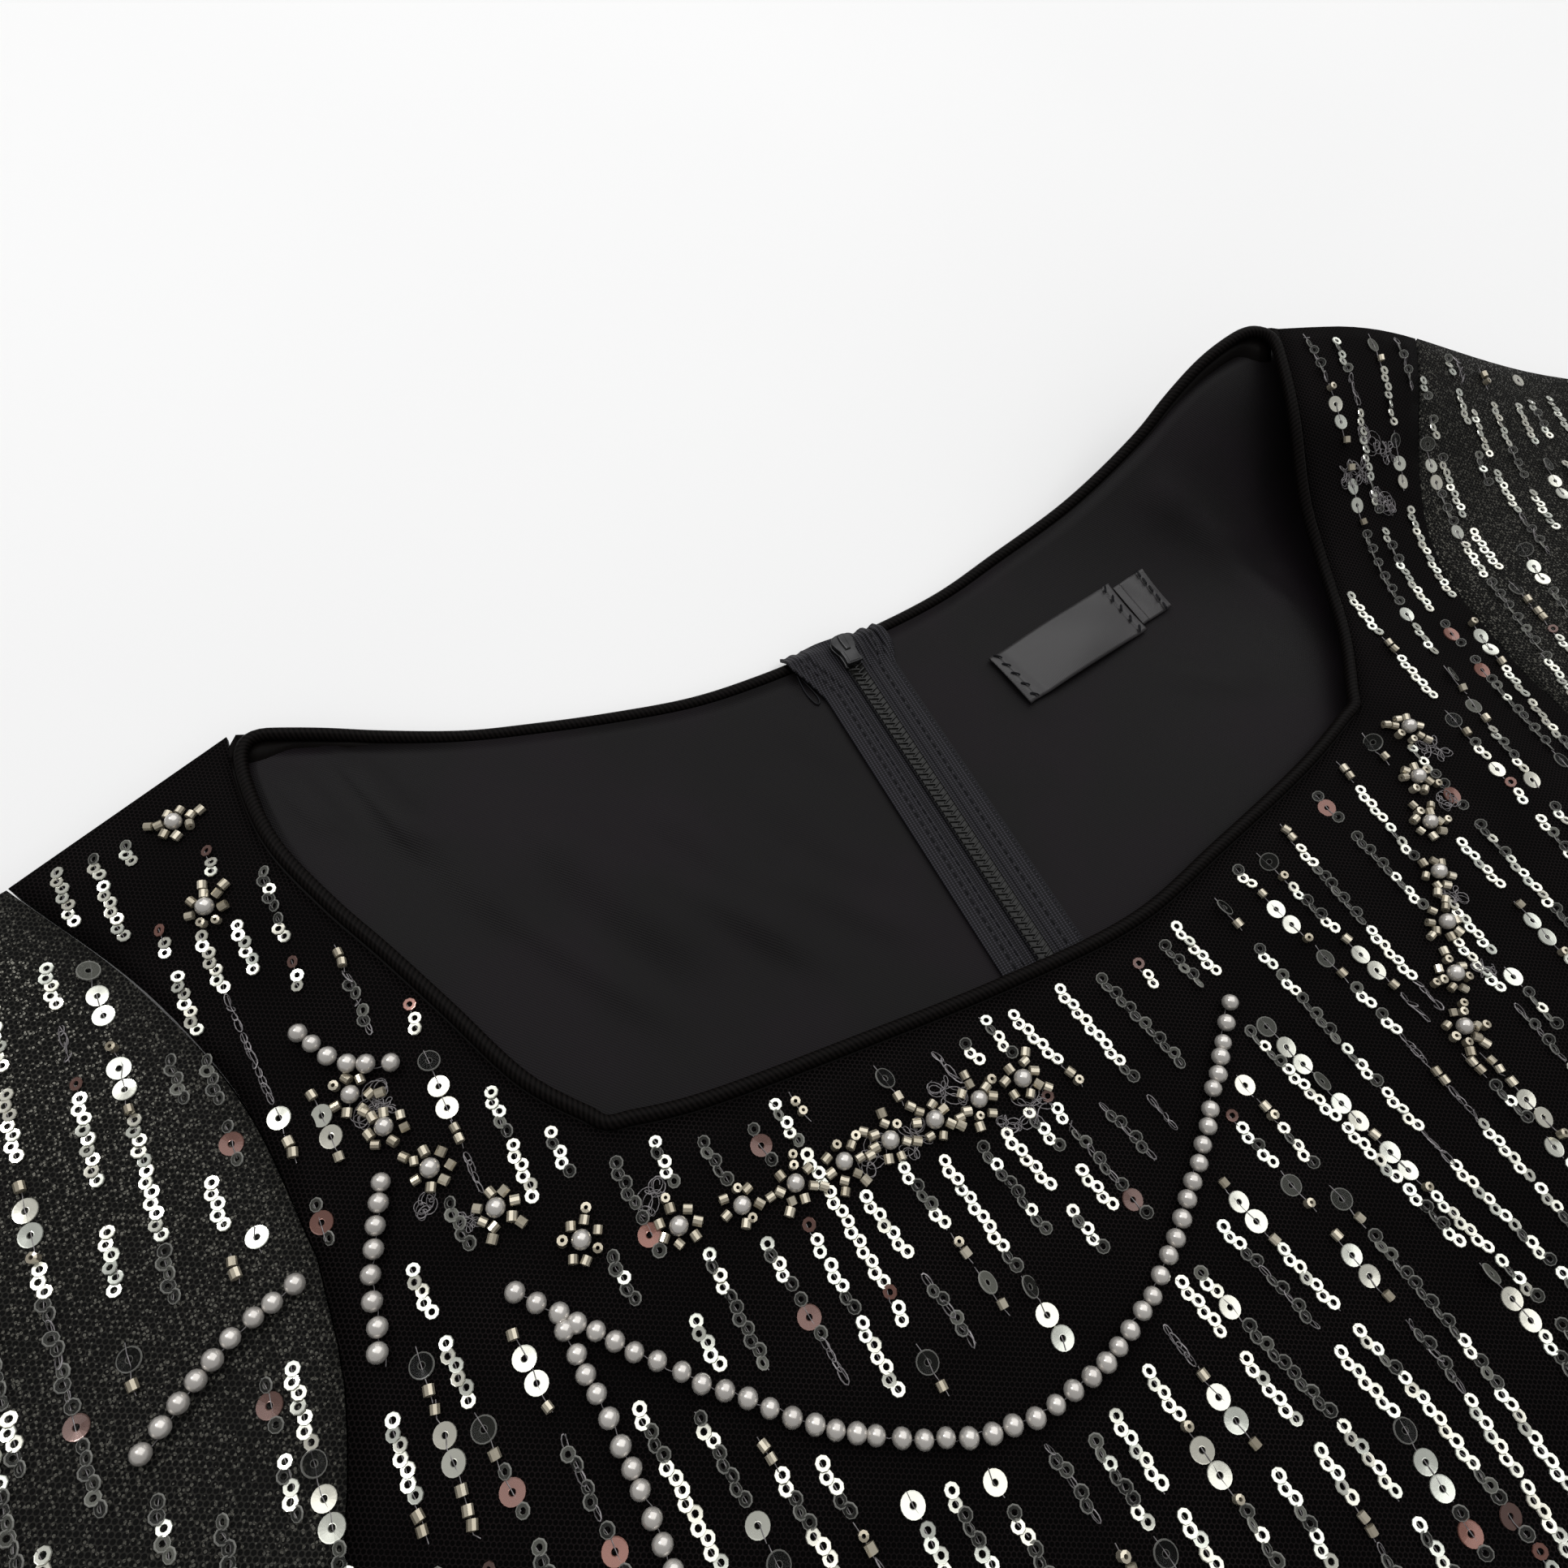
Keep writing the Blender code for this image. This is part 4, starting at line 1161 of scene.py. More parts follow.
@dataclass
class NeckLabels:
    """Blank satin label and the small blank tab beside it, sewn to the lining by their ends."""

    size: tuple = (44.0, 16.5)
    tab_size: tuple = (11.0, 13.0)
    middle: tuple = (52.0, 117.5)
    turn: float = math.radians(9.0)
    wall: float = 0.45
    fold: float = 2.3
    arch: float = 2.6

    def surface(self, centre: float, size: tuple, u: np.ndarray, v: np.ndarray, arch: float) -> np.ndarray:
        """Points of a label's underside.

        Args:
            centre: how far its middle lies along from the label's middle.
            size: its length and width.
            u: shares of its length, from -0.5 to 0.5.
            v: shares of its width, from -0.5 to 0.5.
            arch: how far its middle stands up.

        Returns:
            The points, in millimetres.
        """
        along = np.array([math.cos(self.turn), math.sin(self.turn)])
        x = self.middle[0] + along[0] * (centre + u * size[0]) - along[1] * v * size[1]
        y = self.middle[1] + along[1] * (centre + u * size[0]) + along[0] * v * size[1]
        rise = arch * np.cos(u * math.pi) * (1 - 0.45 * (2 * v) ** 2) + 0.12 * np.sin(9 * u + 4 * v)
        end = (0.5 - np.abs(u)) * size[0]
        folded = 0.38 * ease((self.fold - end) / 0.35 + 0.5) - 0.22 * np.exp(-((end - self.fold) / 0.3) ** 2)
        return np.stack([x, y, CUT.lining_top(x, y) + 0.32 + rise + folded], axis=-1)

    def make_one(self, name: str, node: str, centre: float, size: tuple, arch: float) -> bpy.types.Object:
        """Make the label or the tab."""
        v, u = np.meshgrid(np.linspace(0.5, -0.5, 20), np.linspace(-0.5, 0.5, 110), indexing="ij")
        label = Piece.joined(name, [self.surface(centre, size, u, v, arch)], False, finish=LABEL)
        Piece.wall(label, self.wall)
        ride_as(label, "label_cloth", node)
        return label

    def make(self) -> list:
        """Make the label, the tab and the stitches at their ends."""
        tab_at = self.size[0] / 2 + 0.4 + self.tab_size[0] / 2
        made = [self.make_one("neck_label_satin", "neck_label", 0.0, self.size, self.arch),
                self.make_one("size_tab_satin", "size_tab", tab_at, self.tab_size, 0.7)]
        places = Sewing()
        for centre, size, arch, ends in ((0.0, self.size, self.arch, (-1, 1)),
                                         (tab_at, self.tab_size, 0.7, (1,))):
            for end in ends:
                for v in (-0.42, -0.2, 0.03, 0.24, 0.44):
                    u = end * (0.5 - self.fold / size[0] * 0.9)
                    pair = self.surface(centre, size, np.array([u, u + end * 0.01]),
                                        np.array([v, v + 0.03]), arch)
                    places.add(Vector(put_down(pair[0] + np.array([0.0, 0.0, self.wall + 0.2]))),
                               Vector(pair[1] - pair[0]), Vector((0.0, 0.0, 1.0)), 1.5)
        stitches = Repeats.grown("label_stitches", places.mesh("label_stitch_points"), Repeats.shape_tree,
                                 {"Shape": Shapes().dash(), "Finish": STITCH.material(), "Seed": 12})
        return made + [ride_as(stitches, "label_cloth")]


class Stitch(Enum):
    """What is threaded or sewn at one place of a strand."""

    BRIGHT_RING = "o"
    CLEAR_RING = "g"
    COPPER_RING = "c"
    BRIGHT_DISC = "O"
    CLEAR_DISC = "G"
    COPPER_DISC = "C"
    BEAD = "b"
    PEARL = "p"
    GAP = "-"
    THREAD = "~"

    @property
    def room(self) -> float:
        """Length of strand that it takes, in millimetres."""
        return {"O": 4.7, "G": 4.7, "C": 4.7, "b": 2.3, "-": 1.0, "~": 2.0}.get(self.value, 2.1)


class PearlRow(NamedTuple):
    """A row of pearls between two points, sagging to one side, in millimetres."""

    x0: float
    y0: float
    x1: float
    y1: float
    sag: float


class Garland(NamedTuple):
    """Flowers at even steps beside the neck edge, from one share of its length to another."""

    start: float
    end: float
    first_offset: float
    last_offset: float
    count: int


class Lean(NamedTuple):
    """How far the strands of one column lean sideways for each millimetre above the bust."""

    column: float
    lean: float


PEARL_ROWS = (PearlRow(-135, 35, 25, 20, 55),
              PearlRow(-130, 25, -145, -75, -8),
              PearlRow(95, -65, 185, -70, 22),
              PearlRow(-150, 65, -160, 35, 2),
              PearlRow(-170, 55, -200, 40, 2),
              PearlRow(-155, 100, -140, 85, 3))
GARLANDS = (Garland(0.19, 0.46, 24, 20, 13),
            Garland(0.04, 0.08, 16, 18, 2),
            Garland(0.76, 0.64, 14, 64, 7))
LEANS = (Lean(-200, 0.0), Lean(-100, -0.04), Lean(0, -0.20), Lean(70, -0.12), Lean(130, 0.12),
         Lean(200, 0.20))
PHRASES = ("ooooo", "ggggg", "ogoog", "b-OO-b", "-G-b-", "~~~~", "goo", "ooogg", "gggggg", "-bb-",
           "O-", "c-oo", "~gg~gg~", "ggogg", "oooooo", "G-OO", "gCg", "oogggoo")


@dataclass
class Shapes:
    """The small shapes that the strands repeat, each lying along X with its face up."""

    ring_r: float = 1.44
    disc_r: float = 2.3
    bead_r: float = 0.98
    pearl_r: float = 1.95

    @staticmethod
    def made(name: str, verts: Sequence, faces: Sequence, smooth: bool = False, rims: Sequence[float] = (),
             closed: bool = True) -> bpy.types.Object:
        """Turn points in millimetres into a shape whose faces point outwards.

        Args:
            name: the shape's name.
            verts: its points.
            faces: its faces.
            smooth: whether it is shaded smooth.
            rims: how far each face belongs to the rim, on a clear shape, whose finish paints the rim lighter
                as a highlight.
            closed: whether it is closed, so that outwards can be found.

        Returns:
            The shape, not linked to the scene.
        """
        mesh = bpy.data.meshes.new(name)
        mesh.from_pydata((np.array(verts) * MM).tolist(), [], faces)
        if len(rims):
            mesh.attributes.new("rim", "FLOAT", "FACE").data.foreach_set("value", np.array(rims, dtype=float))
        build = bmesh.new()
        build.from_mesh(mesh)
        bmesh.ops.remove_doubles(build, verts=build.verts, dist=1e-6)
        if closed:
            bmesh.ops.recalc_face_normals(build, faces=build.faces)
        build.to_mesh(mesh)
        build.free()
        if smooth:
            mesh.shade_smooth()
        return bpy.data.objects.new(name, mesh)

    @classmethod
    def flat(cls, name: str, profile: Sequence[tuple], sides: int, rims: Sequence[float]) -> bpy.types.Object:
        """Turn an open profile round the upright axis, for a sequin that lies on the cloth.

        Args:
            name: the shape's name.
            profile: its radius and height at each corner, from the outer edge to the hole.
            sides: how many steps the turn has.
            rims: how far each stretch of the profile belongs to the rim, which a clear finish paints lighter
                as a highlight.

        Returns:
            The shape, not linked to the scene.
        """
        count = len(profile)
        turn = np.linspace(0, 2 * math.pi, sides, endpoint=False)
        verts = [(radius * math.cos(angle), radius * math.sin(angle), height)
                 for angle in turn for radius, height in profile]
        faces = []
        for i in range(sides):
            here, there = i * count, (i + 1) % sides * count
            faces += [(here + j, there + j, there + j + 1, here + j + 1) for j in range(count - 1)]
        return cls.made(name, verts, faces, rims=list(rims) * sides, closed=False)

    @classmethod
    def turned(cls, name: str, profile: Sequence[tuple], sides: int, along: bool = False,
               smooth: bool = False) -> bpy.types.Object:
        """Turn a closed profile round an axis.

        Args:
            name: the shape's name.
            profile: its radius and height at each corner, in millimetres.
            sides: how many steps the turn has.
            along: whether the axis lies along X instead of up.
            smooth: whether it is shaded smooth.

        Returns:
            The shape, not linked to the scene.
        """
        turn = np.linspace(0, 2 * math.pi, sides, endpoint=False)
        verts, faces, count = [], [], len(profile)
        for angle in turn:
            for radius, height in profile:
                point = (radius * math.cos(angle), radius * math.sin(angle), height)
                verts.append((point[2], point[0], point[1]) if along else point)
        for i in range(sides):
            for j in range(count):
                a, b = i * count + j, i * count + (j + 1) % count
                c, d = ((i + 1) % sides) * count + (j + 1) % count, ((i + 1) % sides) * count + j
                faces.append((a, b, c, d))
        return cls.made(name, verts, faces, smooth)

    @classmethod
    def swept(cls, name: str, paths: Sequence[Sequence[tuple]], radius: float,
              sides: int) -> bpy.types.Object:
        """Sweep a round bar along each of some paths."""
        verts, faces = [], []
        for path in paths:
            line = np.array(path, dtype=float)
            along = np.gradient(line, axis=0)
            aside = np.cross(along, (0.0, 0.0, 1.0))
            aside /= np.linalg.norm(aside, axis=1)[:, None]
            up = np.cross(aside, along)
            up /= np.linalg.norm(up, axis=1)[:, None]
            base, steps = len(verts), len(line) - 1
            for i in range(steps + 1):
                for angle in np.linspace(0, 2 * math.pi, sides, endpoint=False):
                    verts.append(line[i] + radius * (math.cos(angle) * aside[i] + math.sin(angle) * up[i]))
            for i in range(steps):
                for j in range(sides):
                    k = (j + 1) % sides
                    a, b = base + i * sides, base + (i + 1) * sides
                    faces.append((a + j, a + k, b + k, b + j))
            faces += [tuple(range(base, base + sides)), tuple(range(len(verts) - sides, len(verts)))]
        return cls.made(name, verts, faces)

    def ring(self) -> bpy.types.Object:
        """A ring sequin with a wide hole."""
        r = self.ring_r
        return self.flat("ring", ((r, 0.0), (r * 0.93, 0.22), (r * 0.82, 0.21), (0.66, 0.20), (0.58, 0.0)), 9,
                         (0.95, 0.75, 0.1, 0.7))

    def far_ring(self) -> bpy.types.Object:
        """The same ring, plainer, for the skirt."""
        return self.flat("far_ring", ((self.ring_r, 0.12), (0.62, 0.14)), 5, (0.5,))

    def disc(self) -> bpy.types.Object:
        """A flat sequin with a small hole and a slightly dished face."""
        r = self.disc_r
        return self.flat("disc", ((r, 0.0), (r * 0.97, 0.24), (r * 0.88, 0.22), (0.72, 0.15), (0.62, 0.17),
                                  (0.54, 0.0)), 18, (0.9, 0.55, 0.0, 0.4, 0.6))

    def far_disc(self) -> bpy.types.Object:
        """The same disc, plainer, for the skirt."""
        return self.flat("far_disc", ((self.disc_r, 0.2), (0.45, 0.12)), 8, (0.4,))

    def bead(self) -> bpy.types.Object:
        """A short glass tube with its hole along the strand."""
        r = self.bead_r
        return self.turned("bead", ((r, -0.85), (r, 0.85), (0.4, 0.95), (0.4, -0.95)), 9, along=True)

    def far_bead(self) -> bpy.types.Object:
        """The same tube, plainer, for the skirt."""
        r = self.bead_r
        return self.turned("far_bead", ((0.0, -0.9), (r, -0.9), (r, 0.9), (0.0, 0.9)), 5, along=True)

    def pearl(self) -> bpy.types.Object:
        """A round pearl with flattened ends where it is pierced."""
        r = self.pearl_r
        arc = [(r * math.sin(a), 0.95 * r * math.cos(a)) for a in np.linspace(0.22, math.pi - 0.22, 7)]
        return self.turned("pearl", [(0.0, arc[0][1]), *arc, (0.0, arc[-1][1])], 12, along=True, smooth=True)

    def link(self) -> bpy.types.Object:
        """A chain-stitch loop of thread."""
        verts, faces = [], []
        for i, a in enumerate(np.linspace(0, 2 * math.pi, 9, endpoint=False)):
            centre = np.array([1.6 * math.cos(a), 0.62 * math.sin(a), 0.0])
            out = np.array([math.cos(a), math.sin(a), 0.0])
            for b in (0.0, 2.1, 4.2):
                verts.append(centre + 0.15 * (math.cos(b) * out + math.sin(b) * np.array([0, 0, 1.0])))
            for j in range(3):
                k, n = (j + 1) % 3, (i + 1) % 9
                faces.append((i * 3 + j, n * 3 + j, n * 3 + k, i * 3 + k))
        return self.made("link", verts, faces)

    def dash(self) -> bpy.types.Object:
        """A short stitch that dips into the cloth at both ends."""
        path = ((-0.75, 0, -0.1), (-0.45, 0, 0.1), (0.45, 0, 0.1), (0.75, 0, -0.1))
        return self.swept("dash", [path], 0.2, 4)

    def tooth(self) -> bpy.types.Object:
        """One turn of the zip's coil on each side, meeting in the middle."""
        bars = [[(side * 2.05, 0.45 + shift, 0.5), (side * 1.5, 0.3 + shift, 0.95),
                 (side * 0.5, -0.15 + shift, 1.12), (side * -0.35, -0.5 + shift, 1.0)]
                for side, shift in ((-1, 0.0), (1, 0.8))]
        return self.swept("tooth", bars, 0.29, 6)


class Repeats:
    """Node trees that repeat a shape on points, or draw a thread along lines."""

    trees: dict = {}

    @staticmethod
    def started(name: str, inputs: Sequence[tuple]) -> tuple:
        """Start a tree with its inputs, each a label, a kind of socket and a first value."""
        tree = bpy.data.node_groups.new(name, "GeometryNodeTree")
        for label, kind, value in inputs:
            socket = tree.interface.new_socket(label, in_out="INPUT", socket_type=kind)
            if value is not None:
                socket.default_value = value
        tree.interface.new_socket("Geometry", in_out="OUTPUT", socket_type="NodeSocketGeometry")
        graph = Graph(tree)
        return graph, graph.add("NodeGroupInput").outputs

    @staticmethod
    def ended(graph: "Graph", made: bpy.types.NodeSocket, finish: bpy.types.NodeSocket) -> bpy.types.NodeTree:
        """End a tree: realize its instances and give them their finish."""
        real = graph.add("GeometryNodeRealizeInstances", {0: made})
        dressed = graph.add("GeometryNodeSetMaterial", {"Geometry": real.outputs[0], "Material": finish})
        graph.tree.links.new(dressed.outputs[0], graph.add("NodeGroupOutput").inputs[0])
        return graph.tree

    @classmethod
    def shape_tree(cls) -> bpy.types.NodeTree:
        """Put a shape on every point, by the point's own turn and size."""
        graph, given = cls.started("sewn_on", (("Geometry", "NodeSocketGeometry", None),
                                               ("Shape", "NodeSocketObject", None),
                                               ("Finish", "NodeSocketMaterial", None),
                                               ("Seed", "NodeSocketInt", 7)))
        shape = graph.add("GeometryNodeObjectInfo", {"Object": given["Shape"]})
        turn = graph.add("GeometryNodeInputNamedAttribute", {"Name": "turn"}, data_type="QUATERNION")
        size = graph.add("GeometryNodeInputNamedAttribute", {"Name": "size"}, data_type="FLOAT")
        tint = graph.add("FunctionNodeRandomValue", {"Seed": given["Seed"]}, data_type="FLOAT")
        placed = graph.add("GeometryNodeInstanceOnPoints", {
            "Points": given["Geometry"], "Instance": shape.outputs["Geometry"],
            "Rotation": turn.outputs["Attribute"], "Scale": size.outputs["Attribute"]})
        kept = graph.add("GeometryNodeStoreNamedAttribute", {
            "Geometry": placed.outputs[0], "Name": "tint", "Value": tint.outputs[1]},
            data_type="FLOAT", domain="INSTANCE")
        return cls.ended(graph, kept.outputs[0], given["Finish"])

    @classmethod
    def thread_tree(cls) -> bpy.types.NodeTree:
        """Draw a round thread along every line of a mesh."""
        graph, given = cls.started("thread", (("Geometry", "NodeSocketGeometry", None),
                                              ("Radius", "NodeSocketFloat", 0.0002),
                                              ("Sides", "NodeSocketInt", 3),
                                              ("Finish", "NodeSocketMaterial", None)))
        line = graph.add("GeometryNodeMeshToCurve", {0: given["Geometry"]})
        round_one = graph.add("GeometryNodeCurvePrimitiveCircle", {"Resolution": given["Sides"],
                                                                   "Radius": given["Radius"]})
        tube = graph.add("GeometryNodeCurveToMesh", {
            "Curve": line.outputs[0], "Profile Curve": round_one.outputs[0], "Fill Caps": True})
        return cls.ended(graph, tube.outputs[0], given["Finish"])

    @classmethod
    def grown(cls, name: str, mesh: bpy.types.Mesh, maker: Callable[[], bpy.types.NodeTree], inputs: dict
              ) -> bpy.types.Object:
        """Run a tree on a mesh and keep the plain result.

        Args:
            name: the new piece's name.
            mesh: the points or lines that it starts from.
            maker: the method that makes the tree.
            inputs: the tree's inputs by name.

        Returns:
            The new piece.
        """
        if maker.__name__ not in cls.trees:
            cls.trees[maker.__name__] = maker()
        tree = cls.trees[maker.__name__]
        source = bpy.data.objects.new(name + "_places", mesh)
        bpy.context.scene.collection.objects.link(source)
        step = source.modifiers.new("repeat", "NODES")
        step.node_group = tree
        for item in tree.interface.items_tree:
            if item.in_out == "INPUT" and item.name in inputs:
                step[item.identifier] = inputs[item.name]
        bpy.context.view_layer.update()
        graph = bpy.context.evaluated_depsgraph_get()
        result = bpy.data.meshes.new_from_object(source.evaluated_get(graph), depsgraph=graph)
        source.modifiers.clear()
        bpy.data.objects.remove(source, do_unlink=True)
        result.name = name
        return Piece.placed(name, result, None)


class Ground:
    """The surface that the beadwork lies on: the front and the sleeves."""

    def __init__(self, pieces: Sequence[bpy.types.Object]) -> None:
        """Read the finished shapes of the pieces."""
        bpy.context.view_layer.update()
        graph = bpy.context.evaluated_depsgraph_get()
        verts, faces = [], []
        for piece in pieces:
            mesh = piece.evaluated_get(graph).to_mesh()
            base = len(verts)
            verts += [tuple(v.co) for v in mesh.vertices]
            faces += [tuple(base + k for k in p.vertices) for p in mesh.polygons]
            piece.evaluated_get(graph).to_mesh_clear()
        self.tree = BVHTree.FromPolygons(verts, faces)

    def at(self, x: float, y: float) -> Optional[tuple]:
        """Find the surface under a point of the plan.

        Args:
            x: across, in millimetres.
            y: towards the neck, in millimetres.

        Returns:
            The point and its normal, or nothing where there is no cloth.
        """
        hit, normal, _, _ = self.tree.ray_cast(Vector((x * MM, (y + MIDDLE_Y) * MM, 0.2)), Vector((0, 0, -1)))
        if hit is None or hit.z < 2.2 * MM:
            return None
        return hit, normal if normal.z > 0 else -normal


@dataclass
class Sewing:
    """Places of one kind of sewn-on shape."""

    at: list = field(default_factory=list)
    turn: list = field(default_factory=list)
    size: list = field(default_factory=list)

    def add(self, place: Vector, along: Vector, face: Vector, size: float) -> None:
        """Add a place, with the direction of its length and of its face."""
        side = face.cross(along).normalized()
        ahead = side.cross(face).normalized()
        frame_of = Matrix((ahead, side, face.normalized())).transposed()
        self.at.append(tuple(place))
        self.turn.append(tuple(frame_of.to_quaternion()))
        self.size.append(size)

    def mesh(self, name: str) -> bpy.types.Mesh:
        """Points with their turn and size."""
        mesh = bpy.data.meshes.new(name)
        mesh.from_pydata(self.at, [], [])
        mesh.attributes.new("turn", "QUATERNION", "POINT").data.foreach_set("value", np.ravel(self.turn))
        mesh.attributes.new("size", "FLOAT", "POINT").data.foreach_set("value", np.array(self.size))
        return mesh


@dataclass
class Beadwork:
    """Strands of sequins, beads and pearls on the front and the sleeves."""

    ground: Ground
    pitch: float = 8.6
    first_y: float = 182.0
    near_end_y: float = -118.0
    near_half_width: float = 235.0
    sparse_half_width: float = 168.0
    sparse_end_y: float = -140.0
    sparse_share: float = 0.4
    bust_y: float = -60.0
    trimmed_end_y: float = -110.0
    cell: float = 12.0
    clear_aside: float = 5.0
    clear_along: float = 4.0
    knot_share: float = 0.55
    strap_knots: int = 6
    seed: int = 41
    kept: dict = field(default_factory=dict)
    threads: list = field(default_factory=list)

    def __post_init__(self) -> None:
        """Start the hand's small unevenness."""
        self.hand = np.random.default_rng(self.seed)

    def sewing(self, kind: str, near: bool) -> Sewing:
        """The places of one kind, near the neck or on the skirt."""
        return self.kept.setdefault((kind, near), Sewing())

    def sew(self, stitch: Stitch, x: float, y: float, along: np.ndarray, count: int, near: bool) -> None:
        """Sew one thing on.

        Args:
            stitch: what it is.
            x: its place across.
            y: its place towards the neck.
            along: the strand's direction in plan.
            count: its number in the strand, for the turns that alternate.
            near: whether it is near the neck.
        """
        found = self.ground.at(x, y)
        if found is None or stitch in (Stitch.GAP, Stitch.THREAD):
            return
        place, face = found
        way = Vector((float(along[0]), float(along[1]), 0.0))
        way = (way - face * way.dot(face)).normalized()
        side = face.cross(way)
        disc = stitch in (Stitch.BRIGHT_DISC, Stitch.CLEAR_DISC, Stitch.COPPER_DISC)
        lean = self.hand.normal(0, 0.07 if disc else 0.09)
        roll = self.hand.normal(0, 0.08 if disc else 0.10)
        lift = 0.15
        if stitch is Stitch.CLEAR_RING or stitch is Stitch.COPPER_RING:
            roll += (1 if count % 2 else -1) * self.hand.uniform(0.25, 0.75)
            lift = 0.55
        elif stitch is Stitch.BRIGHT_RING:
            lean += 0.12
            lift = 0.3
        elif stitch is Stitch.CLEAR_DISC and self.hand.random() < 0.3:
            roll += self.hand.choice((-1, 1)) * self.hand.uniform(0.4, 0.8)
            lift = 1.0
        face = (face + side * roll - way * lean).normalized()
        if stitch is Stitch.PEARL:
            self.sewing("pearl", near).add(place + found[1] * 1.85 * MM, way, face,
                                           self.hand.uniform(0.95, 1.04))
            return
        if stitch is Stitch.BEAD:
            way = (way + side * self.hand.normal(0, 0.18)).normalized()
            if near and self.hand.random() < 0.22:
                way, face = face, way
            self.sewing("bead", near).add(place + found[1] * 0.95 * MM, way, face,
                                          self.hand.uniform(0.92, 1.08))
            return
        group = {"o": "bright", "g": "clear", "c": "copper"}[stitch.value.lower()]
        self.sewing(f"{group}_{'disc' if disc else 'ring'}", near).add(
            place + found[1] * lift * MM, way, face, self.hand.uniform(0.96, 1.04))

    def strand(self, path: np.ndarray, stitches: str, near: bool) -> None:
        """Sew a strand along a path.

        Args:
            path: its points in plan.
            stitches: its stitches in order.
            near: whether it is near the neck.
        """
        line = smooth_line(path, 60)
        run = np.concatenate([[0], np.cumsum(np.linalg.norm(np.diff(line, axis=0), axis=1))])
        spent = 0.0
        for count, stitch in enumerate(Stitch(letter) for letter in stitches):
            at = spent + stitch.room / 2
            spent += stitch.room
            point = np.array([np.interp(at, run, line[:, k]) for k in range(2)])
            along = np.array([np.interp(at + 1, run, line[:, k]) - np.interp(at - 1, run, line[:, k])
                              for k in range(2)])
            along = along / max(1e-6, float(np.linalg.norm(along)))
            if at > run[-1]:
                along = (line[-1] - line[-4]) / np.linalg.norm(line[-1] - line[-4])
                point = line[-1] + along * (at - run[-1])
            aside = np.array([along[1], -along[0]])
            if stitch in (Stitch.BRIGHT_RING, Stitch.CLEAR_RING, Stitch.COPPER_RING):
                point = point + aside * (0.32 if count % 2 else -0.32)
            if stitch is Stitch.THREAD and near:
                self.loop(point, along)
            self.sew(stitch, point[0], point[1], along, count, near)
        self.thread(line, run, max(spent, 1.0), 2.6 if near else 12.0)

    def loop(self, point: np.ndarray, along: np.ndarray) -> None:
        """Sew one chain-stitch loop of thread."""
        found = self.ground.at(point[0], point[1])
        if found:
            way = Vector((float(along[0]), float(along[1]), self.hand.normal(0, 0.1)))
            face = (found[1] + Vector(tuple(self.hand.normal(0, 0.35, 3)))).normalized()
            self.sewing("link", True).add(found[0] + found[1] * 0.5 * MM, way, face,
                                          self.hand.uniform(0.7, 1.15))

    def thread(self, line: np.ndarray, run: np.ndarray, end: float, step: float) -> None:
        """Lay the strand's thread under its stitches."""
        places = []
        for at in np.arange(0, min(end, run[-1]) + step / 2, step):
            x, y = (np.interp(at, run, line[:, k]) + self.hand.normal(0, 0.25) for k in range(2))
            found = self.ground.at(x, y)
            if found is None:
                self.threads.append(places)
                places = []
                continue
            places.append(found[0] + found[1] * 0.28 * MM)
        self.threads.append(places)

    def flower(self, x: float, y: float) -> None:
        """Sew a pearl with short tubes round it."""
        self.sew(Stitch.PEARL, x, y, np.array([0.6, -0.8]), 0, True)
        start = self.hand.uniform(0, 1)
        for k in range(7):
            angle = 2 * math.pi * (k + start) / 7 + self.hand.normal(0, 0.1)
            out = np.array([math.cos(angle), math.sin(angle)])
            turned = angle + self.hand.normal(0, 0.6)
            along = np.array([math.cos(turned), math.sin(turned)])
            reach = 3.45 + self.hand.normal(0, 0.2)
            self.sew(Stitch.BEAD, x + out[0] * reach, y + out[1] * reach, along, k, True)
            if self.hand.random() < 0.3:
                self.sew(Stitch.BEAD, x + out[0] * (reach + 2.1), y + out[1] * (reach + 2.1), out, k, True)

    @staticmethod
    def pearl_path(row: PearlRow) -> np.ndarray:
        """The plan of a row of pearls: a chord with a round sag to its right."""
        share = np.linspace(0, 1, 81)
        chord = np.array([row.x1 - row.x0, row.y1 - row.y0])
        aside = np.array([chord[1], -chord[0]]) / np.linalg.norm(chord)
        sag = row.sag * np.sin(math.pi * share)
        return np.array([row.x0, row.y0]) + share[:, None] * chord + sag[:, None] * aside

    @staticmethod
    def flower_places(garland: Garland) -> np.ndarray:
        """The places of a garland's flowers, beside the neck edge."""
        edge = CUT.neck_line(60, 90)
        run = np.concatenate([[0], np.cumsum(np.linalg.norm(np.diff(edge, axis=0), axis=1))])
        offsets = np.linspace(garland.first_offset, garland.last_offset, garland.count)
        at = np.linspace(garland.start, garland.end, garland.count) * run[-1]
        along = np.gradient(edge, axis=0)
        along /= np.linalg.norm(along, axis=1)[:, None]
        place, way = (np.column_stack([np.interp(at, run, table[:, k]) for k in (0, 1)])
                      for table in (edge, along))
        return place + offsets[:, None] * np.column_stack([way[:, 1], -way[:, 0]])

    def pearls(self, line: np.ndarray) -> None:
        """Sew a line of pearls along a path."""
        run = np.concatenate([[0], np.cumsum(np.linalg.norm(np.diff(line, axis=0), axis=1))])
        at = 0.0
        while at <= run[-1]:
            x, y = (float(np.interp(at, run, line[:, k])) for k in range(2))
            ahead = [float(np.interp(at + 1.5, run, line[:, k]) - np.interp(at - 1.5, run, line[:, k]))
                     for k in range(2)]
            self.sew(Stitch.PEARL, x + self.hand.normal(0, 0.2), y + self.hand.normal(0, 0.2),
                     np.array(ahead), 0, True)
            at += self.hand.uniform(3.75, 4.6)
        self.thread(line, run, run[-1], 1.8)

